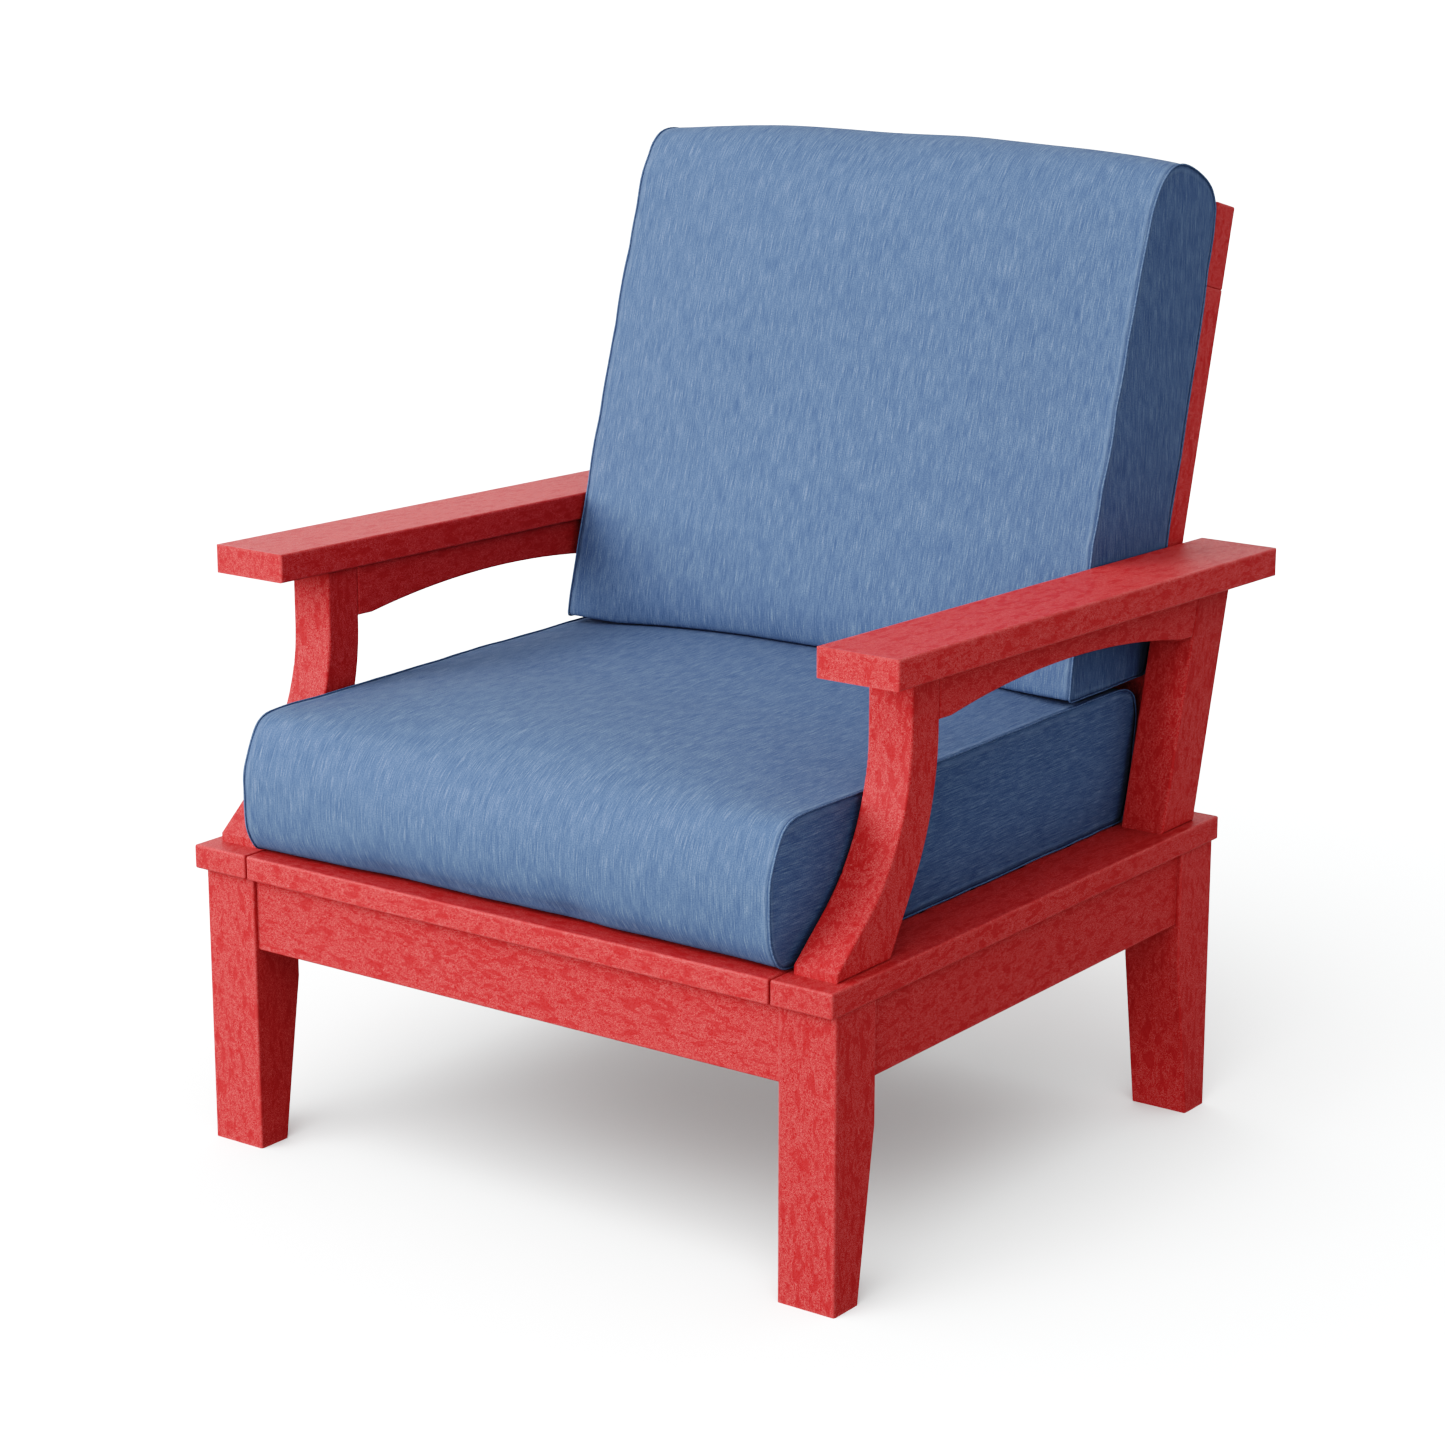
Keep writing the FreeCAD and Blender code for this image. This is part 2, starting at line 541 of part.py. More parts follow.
# ---- Cushions -----------------------------------------------------------------------------------

def crown_arc(half_width, edge_z, crown):
    """Edge from one side seam over the crown to the other."""
    ends = (Vector(-half_width, 0, edge_z), Vector(half_width, 0, edge_z))
    return Part.Arc(ends[0], Vector(0, 0, edge_z + crown), ends[1]).toShape()


def under_crown(half_width, edge_z, crown, floor_z):
    """Solid below a crowned surface that runs the whole depth of the chair."""
    arc = crown_arc(half_width, edge_z, crown)
    low = [Vector(half_width, 0, floor_z), Vector(-half_width, 0, floor_z)]
    sides = Part.makePolygon([arc.Vertexes[1].Point, low[0], low[1], arc.Vertexes[0].Point])
    wire = Part.Wire([arc] + sides.Edges)
    return Part.Face(wire).extrude(Vector(0, SEAT_DEPTH, 0))


def inset_profile(path, inset):
    face = Part.Face(profile_wire(path))
    if inset == 0.0:
        return face
    return face.makeOffset2D(-inset)


def seat_cushion(inset):
    """Box cushion with a rounded front, or the core left inside it when inset."""
    low = SEAT_TOP + REST_GAP
    high = SEAT_CUSHION_EDGE_TOP + SEAT_CUSHION_CROWN
    foot_front, foot_rear = SEAT_CUSHION_FOOT_Y
    top_front, top_rear = SEAT_CUSHION_TOP_Y
    rear_roll = tuple((y, high - drop) for y, drop in SEAT_CUSHION_REAR_ROLL)
    outline = [
        (foot_front, low), SEAT_CUSHION_NOSE, (SEAT_CUSHION_ROLL, (top_front, high)),
        (top_rear, high), rear_roll, (foot_rear, low),
    ]
    half = SEAT_CUSHION_HALF_WIDTH - inset
    solid = inset_profile(outline, inset).extrude(Vector(2 * half, 0, 0))
    solid.translate(Vector(-half, 0, 0))
    crown = under_crown(SEAT_CUSHION_HALF_WIDTH, SEAT_CUSHION_EDGE_TOP - inset,
                        SEAT_CUSHION_CROWN, 0.0)
    return solid.common(crown)


def back_cushion(inset):
    """Box cushion that leans on the back frame and stands on the seat cushion."""
    rear = -RAIL_THICKNESS - REST_GAP
    front = -RAIL_THICKNESS - BACK_CUSHION_DEPTH
    top = BACK_CUSHION_TOP
    rear_roll = [(rear - inward, top - drop) for inward, drop in BACK_CUSHION_REAR_ROLL]
    front_roll = [(front + inward, top - drop) for inward, drop in BACK_CUSHION_FRONT_ROLL]
    thicker, thick_below = BACK_CUSHION_THICK
    outline = [
        (rear, BACK_CUSHION_FOOT), rear_roll[0], (rear_roll[1], rear_roll[2]),
        front_roll[0], (front_roll[1], front_roll[2]),
        (front, BACK_CUSHION_WAIST), (front - thicker, thick_below),
        (front - thicker, BACK_CUSHION_FOOT),
    ]
    half = BACK_CUSHION_HALF_WIDTH - inset
    solid = inset_profile(outline, inset).extrude(Vector(2 * half, 0, 0))
    solid.translate(Vector(-half, 0, 0))
    seat = under_crown(SEAT_CUSHION_HALF_WIDTH, SEAT_CUSHION_EDGE_TOP + REST_GAP + inset,
                       SEAT_CUSHION_CROWN, 0.0)
    return leaned(solid).cut(seat)


def make_cushions():
    cushions = {}
    for name, shape in (("seat_cushion", seat_cushion), ("back_cushion", back_cushion)):
        core = shape(COVER_THICKNESS)
        cushions[name + "_core"] = core
        cushions[name + "_cover"] = shape(0.0).cut(core)
    return cushions


# ---- Assembly and files -------------------------------------------------------------------------

def write_parts(pieces):
    """Put the origin on the floor under the middle of the chair, and write one file a piece."""
    box = Part.makeCompound(list(pieces.values())).BoundBox
    shift = Vector(0, -(box.YMin + box.YMax) / 2, 0)
    os.makedirs("parts", exist_ok=True)
    for name, shape in pieces.items():
        shape.translate(shift)
        shape.exportStep("parts/" + name + ".step")
    print("pieces", len(pieces), "valid", all(s.isValid() for s in pieces.values()))
    print("size %.1f x %.1f x %.1f" % (box.XLength, box.YLength, box.ZLength))
    print("moved back to front by %.2f" % shift.y)


make_legs()
make_rails()
seat_slat_centres = make_caps()
make_posts()
make_arms()
back_slat_centres, back_slat_span = make_back_frame()
fasten_rails()
fasten_cleats()
fasten_slats(seat_slat_centres)
fasten_arms()
fasten_back(back_slat_centres, back_slat_span)
drill_boards()

all_pieces = dict(boards)
for group_name, group in fasteners.items():
    all_pieces[group_name] = Part.makeCompound([solid for solid, _ in group])
all_pieces.update(make_cushions())
write_parts(all_pieces)
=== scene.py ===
# %% [markdown]
# # A red garden lounge chair with two blue cushions
# The frame is made of recycled-plastic boards, and its shapes come ready from the CAD model, which
# is loaded as a fixed frame. This lesson adds what a CAD model lacks: the flecks in the boards, the
# two stuffed cushions with their seams, the floor, the light and the camera.

# %% Load the frame
import bpy
import math
import numpy as np
from mathutils import Euler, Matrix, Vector, noise
from mathutils.bvhtree import BVHTree


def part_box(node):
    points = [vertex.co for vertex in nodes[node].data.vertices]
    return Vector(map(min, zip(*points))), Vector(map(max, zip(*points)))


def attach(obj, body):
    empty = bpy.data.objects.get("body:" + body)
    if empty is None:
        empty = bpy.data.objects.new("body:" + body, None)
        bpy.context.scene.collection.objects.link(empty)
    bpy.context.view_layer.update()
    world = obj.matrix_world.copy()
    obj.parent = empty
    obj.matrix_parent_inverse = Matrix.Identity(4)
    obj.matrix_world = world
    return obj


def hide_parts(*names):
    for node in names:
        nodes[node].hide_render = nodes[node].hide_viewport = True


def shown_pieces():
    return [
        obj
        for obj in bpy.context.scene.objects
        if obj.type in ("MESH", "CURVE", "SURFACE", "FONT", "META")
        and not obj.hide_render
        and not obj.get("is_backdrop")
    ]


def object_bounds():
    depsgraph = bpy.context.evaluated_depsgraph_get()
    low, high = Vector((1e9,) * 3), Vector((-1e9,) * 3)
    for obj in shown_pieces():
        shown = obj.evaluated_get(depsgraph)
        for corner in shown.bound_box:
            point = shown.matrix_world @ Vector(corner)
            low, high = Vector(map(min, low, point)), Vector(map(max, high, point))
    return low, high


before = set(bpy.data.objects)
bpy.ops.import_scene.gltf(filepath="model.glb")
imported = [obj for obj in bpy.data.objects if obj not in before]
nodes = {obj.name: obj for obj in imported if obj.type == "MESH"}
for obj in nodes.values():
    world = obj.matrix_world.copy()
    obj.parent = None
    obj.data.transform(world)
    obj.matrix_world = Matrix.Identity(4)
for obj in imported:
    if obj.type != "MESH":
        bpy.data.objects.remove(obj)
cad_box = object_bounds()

scene = bpy.context.scene
CHAIR_LOW, CHAIR_HIGH = (Vector(corner) for corner in cad_box)
CHAIR_MIDDLE = (CHAIR_LOW + CHAIR_HIGH) / 2
print("chair box in metres:", [round(n, 3) for n in CHAIR_HIGH - CHAIR_LOW], "nodes:", len(nodes))

# %% [markdown]
# ## The camera
# A chair like this is usually shown from a standing person's height, a little above the arms and
# turned so that the front and one side are both seen. A long lens keeps the legs nearly parallel.
# The camera is placed by an angle round the chair, an angle above the floor and a distance, which
# are easier to think about than x, y and z.

# %% Camera
LENS = 0.0909                # focal length, metres
SENSOR = 0.036
AZIMUTH = math.radians(36.32)
ELEVATION = math.radians(14.81)
DISTANCE = 3.8175
AIM = CHAIR_MIDDLE + Vector((-0.0119, -0.0314, -0.072))

backwards = Vector((math.sin(AZIMUTH) * math.cos(ELEVATION),
                    -math.cos(AZIMUTH) * math.cos(ELEVATION), math.sin(ELEVATION)))
camera_data = bpy.data.cameras.new("camera")
camera_data.lens = LENS * 1000
camera_data.sensor_width = SENSOR * 1000
camera = bpy.data.objects.new("camera", camera_data)
camera.location = AIM + DISTANCE * backwards
camera.rotation_euler = backwards.to_track_quat("Z", "Y").to_euler()
scene.collection.objects.link(camera)
scene.camera = camera
print("camera at", [round(n, 3) for n in camera.location])

# %% [markdown]
# ## Floor and light
# In a studio the chair stands on a big sheet of white paper that is lit until it is almost pure
# white, so only the soft shadow under the seat shows. Here a plain white floor and a bright sky do
# that. One large soft lamp from the front left, the key, makes the boards' top and front faces
# bright and leaves the right-hand faces darker, which is what shows the shape. A weak lamp low in
# front reaches the rear legs. A third lamp, as wide as a ceiling, falls on the paper alone and
# sets how dark the shadow under the seat is.

# %% Floor and light
FLOOR_SIZE = 60.0
FLOOR_WHITE = (0.240, 0.248, 0.248, 1)   # for light that bounces off it
FLOOR_SEEN = (0.660, 0.677, 0.677, 1)    # whiter, and cool against the red the boards throw on it
PAPER_ROUGHNESS = 0.9
SKY_WHITE = 1.0
SKY_LEAN = (-0.38, -0.20, -0.20)       # the sky is brighter on the left and in front
KEY_POWER = 128.0
KEY_SIZE = 2.4
KEY_PLACE = (-2.0, -3.6, 2.0)
FILL_POWER = 20.0
FILL_SIZE = 1.6
FILL_PLACE = (1.3, -4.0, 0.35)
PAPER_LAMP_STRENGTH = 2.0
PAPER_LAMP_WIDTH = math.radians(68)
PAPER_LAMP_FROM = (0.08, -0.85, 1.0)


def deselect():
    """Leave edit mode and let go of everything, so that the next operator acts on new work only."""
    if bpy.context.object and bpy.context.object.mode != "OBJECT":
        bpy.ops.object.mode_set(mode="OBJECT")
    bpy.ops.object.select_all(action="DESELECT")


def add_node(tree, kind, **settings):
    """Add a shader node. Settings that name an input give that input its value."""
    node = tree.nodes.new(kind)
    for name, value in settings.items():
        if hasattr(node, name):
            setattr(node, name, value)
        else:
            node.inputs[name].default_value = value
    return node


def new_material(name):
    """An empty material with a Principled shader, its tree and that shader."""
    material = bpy.data.materials.new(name)
    material.use_nodes = True
    tree = material.node_tree
    return material, tree, tree.nodes["Principled BSDF"]


deselect()
bpy.ops.mesh.primitive_plane_add(size=FLOOR_SIZE)
floor = bpy.context.object
floor.name = "floor"
paper, paper_tree, paper_shader = new_material("white paper")
seen = add_node(paper_tree, "ShaderNodeLightPath")
tint = add_node(paper_tree, "ShaderNodeMix", data_type="RGBA")
paper_tree.links.new(seen.outputs["Is Camera Ray"], tint.inputs[0])
tint.inputs[6].default_value, tint.inputs[7].default_value = FLOOR_WHITE, FLOOR_SEEN
paper_tree.links.new(tint.outputs[2], paper_shader.inputs["Base Color"])
paper_shader.inputs["Roughness"].default_value = PAPER_ROUGHNESS
paper_shader.inputs["Specular IOR Level"].default_value = 0.0
floor.data.materials.append(paper)
floor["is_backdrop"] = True

sky = bpy.data.worlds.new("studio")
sky.use_nodes = True
sky_tree = sky.node_tree
direction = add_node(sky_tree, "ShaderNodeTexCoord")
slope = add_node(sky_tree, "ShaderNodeVectorMath", operation="DOT_PRODUCT")
sky_tree.links.new(direction.outputs["Generated"], slope.inputs[0])
slope.inputs[1].default_value = SKY_LEAN
glow = add_node(sky_tree, "ShaderNodeMath", operation="MULTIPLY_ADD")
sky_tree.links.new(slope.outputs["Value"], glow.inputs[0])
glow.inputs[1].default_value = glow.inputs[2].default_value = SKY_WHITE
plain = add_node(sky_tree, "ShaderNodeMix", data_type="FLOAT")
ray = add_node(sky_tree, "ShaderNodeLightPath")
sky_tree.links.new(ray.outputs["Is Camera Ray"], plain.inputs[0])
sky_tree.links.new(glow.outputs[0], plain.inputs[2])
plain.inputs[3].default_value = SKY_WHITE
backdrop = sky_tree.nodes["Background"]
backdrop.inputs["Color"].default_value = (1, 1, 1, 1)
sky_tree.links.new(plain.outputs[0], backdrop.inputs["Strength"])
scene.world = sky


def soft_lamp(name, place, size, power):
    """A square soft lamp that looks at the middle of the chair."""
    data = bpy.data.lights.new(name, "AREA")
    data.size, data.energy = size, power
    lamp = bpy.data.objects.new(name, data)
    lamp.location = place
    lamp.rotation_euler = (CHAIR_MIDDLE - Vector(place)).to_track_quat("-Z", "Y").to_euler()
    scene.collection.objects.link(lamp)
    return lamp


key = soft_lamp("key", KEY_PLACE, KEY_SIZE, KEY_POWER)
fill = soft_lamp("fill", FILL_PLACE, FILL_SIZE, FILL_POWER)
overhead = bpy.data.lights.new("paper lamp", "SUN")
overhead.energy, overhead.angle = PAPER_LAMP_STRENGTH, PAPER_LAMP_WIDTH
paper_lamp = bpy.data.objects.new("paper lamp", overhead)
paper_lamp.rotation_euler = Vector(PAPER_LAMP_FROM).to_track_quat("Z", "Y").to_euler()
scene.collection.objects.link(paper_lamp)

# Film answers light with a curve: shadows deepen and keep their colour, bright parts level off.
FILM_CURVE = [(0.0164, 0.010), (0.0237, 0.020), (0.036, 0.042), (0.0504, 0.072), (0.0837, 0.150),
              (0.166, 0.330), (0.397, 0.680), (0.80, 1.0)]
film = scene.view_settings
film.view_transform = "Standard"
film.look = "None"
film.use_curve_mapping = True
response = film.curve_mapping.curves[3]
for light, tone in FILM_CURVE:
    response.points.new(light, tone)
film.curve_mapping.update()
print("floor", FLOOR_SIZE, "m square, sky", SKY_WHITE, "key", KEY_POWER, "W")

# %% [markdown]
# ## Flecked plastic lumber
# The boards are pressed from shredded bottles. The dye colours most of it deep red, but paler
# fibres stay visible as short squiggles, packed densely in some places and missing in others, and
# drawn out along the board by the press. A picture of the real board could be wrapped on, but it
# would repeat and stretch. Noise in three dimensions doesn't: it runs through the whole board, so
# the ends and the cut curves show it in section, as the real ones do. Each board gets its own
# place in the noise, or neighbouring boards would look cut from one sheet.
#
# Everything about flecks is in one node group, used by every board.

# %% Helpers for node groups
def new_group(name, inputs, outputs):
    """A shader node group. Inputs and outputs are {name: (socket type, default)}."""
    group = bpy.data.node_groups.new(name, "ShaderNodeTree")
    for in_out, sockets in (("INPUT", inputs), ("OUTPUT", outputs)):
        for label, (kind, default) in sockets.items():
            socket = group.interface.new_socket(label, in_out=in_out,
                                                socket_type="NodeSocket" + kind)
            if default is not None:
                socket.default_value = default
    return group, group.nodes.new("NodeGroupInput"), group.nodes.new("NodeGroupOutput")


def place_group(tree, group, **values):
    """Put a node group into a tree and set its inputs."""
    node = tree.nodes.new("ShaderNodeGroup")
    node.node_tree = group
    for name, value in values.items():
        node.inputs[name.replace("_", " ")].default_value = value
    return node


def stretched(tree, vector, scale):
    """The coordinates multiplied by a scale along each axis."""
    node = add_node(tree, "ShaderNodeVectorMath", operation="MULTIPLY")
    tree.links.new(vector, node.inputs[0])
    node.inputs[1].default_value = scale
    return node.outputs[0]


def clouds(tree, vector, detail=2.0, roughness=0.5, distortion=0.0):
    """Noise with a value near 0.5, one lump per unit."""
    node = add_node(tree, "ShaderNodeTexNoise", Scale=1.0, Detail=detail, Roughness=roughness,
                    Distortion=distortion)
    tree.links.new(vector, node.inputs["Vector"])
    return node.outputs["Fac"]


def remapped(tree, value, low, high, to_low=0.0, to_high=1.0):
    """Value from low to high turned into to_low to to_high, smoothly and without overshoot."""
    node = add_node(tree, "ShaderNodeMapRange", interpolation_type="SMOOTHSTEP")
    tree.links.new(value, node.inputs["Value"])
    limits = {"From Min": low, "From Max": high, "To Min": to_low, "To Max": to_high}
    for name, number in limits.items():
        node.inputs[name].default_value = number
    return node.outputs["Result"]


def maths(tree, operation, a, b=0.5, c=0.0):
    """One step of arithmetic. Each of a, b and c is a socket or a number."""
    node = add_node(tree, "ShaderNodeMath", operation=operation)
    for socket, item in zip(node.inputs, (a, b, c)):
        if isinstance(item, bpy.types.NodeSocket):
            tree.links.new(item, socket)
        else:
            socket.default_value = item
    return node.outputs[0]


MIX_COLOUR_INPUTS = (0, 6, 7)    # factor and the two colours of a Mix node set to colour


def blended(tree, factor, first, second, mode="MIX"):
    """Two colours mixed. Factor and colours are sockets or values."""
    node = add_node(tree, "ShaderNodeMix", data_type="RGBA", blend_type=mode)
    factor_socket, first_socket, second_socket = (node.inputs[i] for i in MIX_COLOUR_INPUTS)
    for socket, item in ((factor_socket, factor), (first_socket, first), (second_socket, second)):
        if isinstance(item, bpy.types.NodeSocket):
            tree.links.new(item, socket)
        else:
            socket.default_value = item
    return node.outputs[2]


def from_screen(red, green, blue):
    """A colour as seen on a screen, 0 to 255, turned into the shader's linear light."""
    def linear(value):
        value /= 255
        return value / 12.92 if value <= 0.04045 else ((value + 0.055) / 1.055) ** 2.4
    return linear(red), linear(green), linear(blue), 1.0


print("node helpers ready")

# %% The flecks group
FIBRE_SPACING = (0.0031, 0.0021, 0.0021)   # metres between squiggles, along and across the board
PATCH_SIZE = (0.020, 0.0075, 0.0075)       # where fibres are few
STREAK_SIZE = (0.009, 0.0022, 0.0022)
FIBRE_NOISE = {"detail": 4.0, "roughness": 0.66, "distortion": 1.6}
PATCH_NOISE = {"detail": 2.5, "roughness": 0.6, "distortion": 0.6}
STREAK_NOISE = {"detail": 2.0, "roughness": 0.6, "distortion": 0.4}
FIBRE_EDGE = (0.050, 0.005)    # distance in the noise where a squiggle starts, and is full
PATCH_EDGE = (0.38, 0.50)
FIBRE_HEIGHT = 0.6             # of a squiggle, against the streaks' 1


def per_metre(size):
    """Lumps per metre along each axis."""
    return tuple(1 / s for s in size)


flecks, given, made = new_group(
    "lumber flecks",
    {"Vector": ("Vector", None)},
    {"Fibre": ("Float", None), "Patch": ("Float", None), "Streak": ("Float", None),
     "Height": ("Float", None)})
place = given.outputs["Vector"]
squiggle = clouds(flecks, stretched(flecks, place, per_metre(FIBRE_SPACING)), **FIBRE_NOISE)
ridge = maths(flecks, "ABSOLUTE", maths(flecks, "SUBTRACT", squiggle, 0.5))
fibre = remapped(flecks, ridge, *FIBRE_EDGE)
patch = remapped(flecks, clouds(flecks, stretched(flecks, place, per_metre(PATCH_SIZE)),
                                **PATCH_NOISE), *PATCH_EDGE)
streak = clouds(flecks, stretched(flecks, place, per_metre(STREAK_SIZE)), **STREAK_NOISE)
flecks.links.new(fibre, made.inputs["Fibre"])
flecks.links.new(patch, made.inputs["Patch"])
flecks.links.new(streak, made.inputs["Streak"])
flecks.links.new(maths(flecks, "ADD", maths(flecks, "MULTIPLY", fibre, FIBRE_HEIGHT), streak),
                 made.inputs["Height"])
print("flecks group has", len(flecks.nodes), "nodes")

# %% [markdown]
# The long edges of each board are eased, and hands and sleeves polish them a little smoother.
# Where they round over they catch the light, so they are also painted a little paler, a painted
# highlight. The group below finds them from the board's own box: a point near two faces at once is
# on an edge.

# %% The edge highlight and polish group
edge_highlight_and_polish, given, made = new_group(
    "edge highlight and polish",
    {"Vector": ("Vector", None), "Half Size": ("Vector", None), "Width": ("Float", 0.004)},
    {"Edge": ("Float", None)})
reach = add_node(edge_highlight_and_polish, "ShaderNodeVectorMath", operation="ABSOLUTE")
edge_highlight_and_polish.links.new(given.outputs["Vector"], reach.inputs[0])
depth = add_node(edge_highlight_and_polish, "ShaderNodeVectorMath", operation="SUBTRACT")
edge_highlight_and_polish.links.new(given.outputs["Half Size"], depth.inputs[0])
edge_highlight_and_polish.links.new(reach.outputs[0], depth.inputs[1])
parts = add_node(edge_highlight_and_polish, "ShaderNodeSeparateXYZ")
edge_highlight_and_polish.links.new(depth.outputs[0], parts.inputs[0])
near_x, near_y, near_z = parts.outputs
second = maths(edge_highlight_and_polish, "MAXIMUM", maths(edge_highlight_and_polish, "MINIMUM", near_x, near_y),
               maths(edge_highlight_and_polish, "MINIMUM", maths(edge_highlight_and_polish, "MAXIMUM", near_x, near_y), near_z))
share = maths(edge_highlight_and_polish, "DIVIDE", second, given.outputs["Width"])
inside = maths(edge_highlight_and_polish, "MINIMUM", 1.0, maths(edge_highlight_and_polish, "MAXIMUM", 0.0, share))
edge_highlight_and_polish.links.new(maths(edge_highlight_and_polish, "SUBTRACT", 1.0, inside), made.inputs["Edge"])
print("edge highlight and polish group has", len(edge_highlight_and_polish.nodes), "nodes")

# %% [markdown]
# Each board needs its grain turned the way it was cut. A Mapping node turns the chair's coordinates
# until the board lies along X with its middle at zero, and an added offset picks the board's own
# place in the noise. The tone of every board differs a little, as batches of plastic do.

# %% Board material
DEEP_RED = from_screen(150, 42, 42)
DARK_RED = from_screen(138, 32, 34)
FIBRE_PINK = from_screen(178, 90, 88)
FEWEST_FIBRES = 0.30           # share that still shows where fibres are few
OWN_PLACE = (0.731, 0.377, 0.193)   # step in the noise from one board to the next
DARKEST_TONE, TONE_SPREAD, TONE_STEP = 0.96, 0.08, 0.618
# Painted highlight: how far the edges are mixed towards the pale fibre colour; the smoother part is
# polish.
EDGE_HIGHLIGHT_PALER, RUBBED_SMOOTHER = 0.22, 0.10
BOARD_HEIGHTS = (0.2, 1.2)     # heights of the flecks that are the smoothest and roughest
BOARD_ROUGHNESS = (0.44, 0.62)
BOARD_SHINE = 0.08
BOARD_BUMP = {"Strength": 0.35, "Distance": 0.0006}
BACK_LEAN = math.radians(14.3)
ARM_FALL = math.radians(1.65)
QUARTER = math.pi / 2
GRAIN_TURNS = {
    "across": (0, 0, 0),
    "leaning across": (BACK_LEAN, 0, 0),
    "front to back": (0, 0, -QUARTER),
    "arm": (ARM_FALL, 0, -QUARTER),
    "upright": (0, QUARTER, 0),
    "leaning upright": (BACK_LEAN, QUARTER, 0),
}
BOARDS = {
    "across": ["front_rail", "rear_rail", "front_cap", "rear_cap"] +
              [f"seat_slat_{n}" for n in range(1, 7)],
    "leaning across": ["back_top_rail", "back_bottom_rail"],
    "front to back": [side + part for side in ("left", "right")
                      for part in ("_side_rail", "_seat_cleat", "_side_cap", "_arm_apron")],
    "arm": ["left_arm", "right_arm"],
    "upright": ["front_left_leg", "front_right_leg", "rear_left_leg", "rear_right_leg",
                "left_front_post", "right_front_post"],
    "leaning upright": ["left_back_stile", "right_back_stile", "left_rear_post",
                        "right_rear_post"] + [f"back_slat_{n}" for n in range(1, 6)],
}
CURVED = ("_post", "_arm_apron")   # their boxes say nothing about where their edges are


def mesh_points(piece):
    """The corners of a piece's mesh as an array, one row each."""
    found = np.empty(len(piece.data.vertices) * 3, np.float32)
    piece.data.vertices.foreach_get("co", found)
    return found.reshape(-1, 3).astype(float)


def place_corners(piece, points):
    """Move every corner of a piece's mesh."""
    piece.data.vertices.foreach_set("co", np.asarray(points, np.float32).ravel())
    piece.data.update()


def turned_box(name, turn):
    """Middle and half size of a node's box after its coordinates are turned."""
    matrix = np.array(Euler(turn, "XYZ").to_matrix())
    points = mesh_points(nodes[name]) @ matrix.T
    low, high = points.min(0), points.max(0)
    return (low + high) / 2, (high - low) / 2


def finish_node(name, material):
    """Give a CAD node its finish."""
    for slot in nodes[name].material_slots:
        slot.material = material


def board_material(name, turn, number):
    """Flecked red lumber with the grain along the board."""
    material, tree, shader = new_material("lumber " + name.replace("_", " "))
    middle, half = turned_box(name, turn)
    where = add_node(tree, "ShaderNodeTexCoord")
    lay = add_node(tree, "ShaderNodeMapping")
    tree.links.new(where.outputs["Object"], lay.inputs["Vector"])
    lay.inputs["Rotation"].default_value = turn
    lay.inputs["Location"].default_value = -middle
    own_place = add_node(tree, "ShaderNodeVectorMath", operation="ADD")
    tree.links.new(lay.outputs[0], own_place.inputs[0])
    own_place.inputs[1].default_value = [number * step for step in OWN_PLACE]
    speckle = place_group(tree, flecks)
    tree.links.new(own_place.outputs[0], speckle.inputs["Vector"])
    edges = place_group(tree, edge_highlight_and_polish, Half_Size=half)
    tree.links.new(lay.outputs[0], edges.inputs["Vector"])
    highlit_polished_edge = maths(tree, "MULTIPLY", edges.outputs["Edge"], 0.0 if name.endswith(CURVED) else 1.0)

    tone = DARKEST_TONE + TONE_SPREAD * ((number * TONE_STEP) % 1)
    red = blended(tree, speckle.outputs["Streak"], DARK_RED, DEEP_RED)
    dense = remapped(tree, speckle.outputs["Patch"], 0.0, 1.0, FEWEST_FIBRES, 1.0)
    shown = maths(tree, "MULTIPLY", speckle.outputs["Fibre"], dense)
    flecked = blended(tree, shown, red, FIBRE_PINK)
    # Painted highlight along the eased edges, where they would catch the light.
    paler = blended(tree, maths(tree, "MULTIPLY", highlit_polished_edge, EDGE_HIGHLIGHT_PALER), flecked, FIBRE_PINK)
    toned = blended(tree, 1.0, paler, (tone, tone, tone, 1), "MULTIPLY")
    tree.links.new(toned, shader.inputs["Base Color"])
    rough = remapped(tree, speckle.outputs["Height"], *BOARD_HEIGHTS, *BOARD_ROUGHNESS)
    smoother = maths(tree, "MULTIPLY", highlit_polished_edge, RUBBED_SMOOTHER)
    tree.links.new(maths(tree, "SUBTRACT", rough, smoother), shader.inputs["Roughness"])
    shader.inputs["Specular IOR Level"].default_value = BOARD_SHINE
    bump = add_node(tree, "ShaderNodeBump", **BOARD_BUMP)
    tree.links.new(speckle.outputs["Height"], bump.inputs["Height"])
    tree.links.new(bump.outputs[0], shader.inputs["Normal"])
    return material


count = 0
for direction, names in BOARDS.items():
    for name in names:
        count += 1
        finish_node(name, board_material(name, GRAIN_TURNS[direction], count))
print("boards finished:", count)

# %% [markdown]
# ## Metal and plastic fittings
# The screws, bolts and washers are stainless steel, turned on a lathe, so fine rings or scratches
# catch the light. The dowels are cut from rod of the same plastic as the boards, and the black
# spacers behind the back are moulded plastic with a slight grain. A little noise in the roughness
# is enough at their size.

# %% Fittings
GRAIN_NOISE = {"detail": 3.0, "roughness": 0.6}
GRAIN_HEIGHT = 0.0002


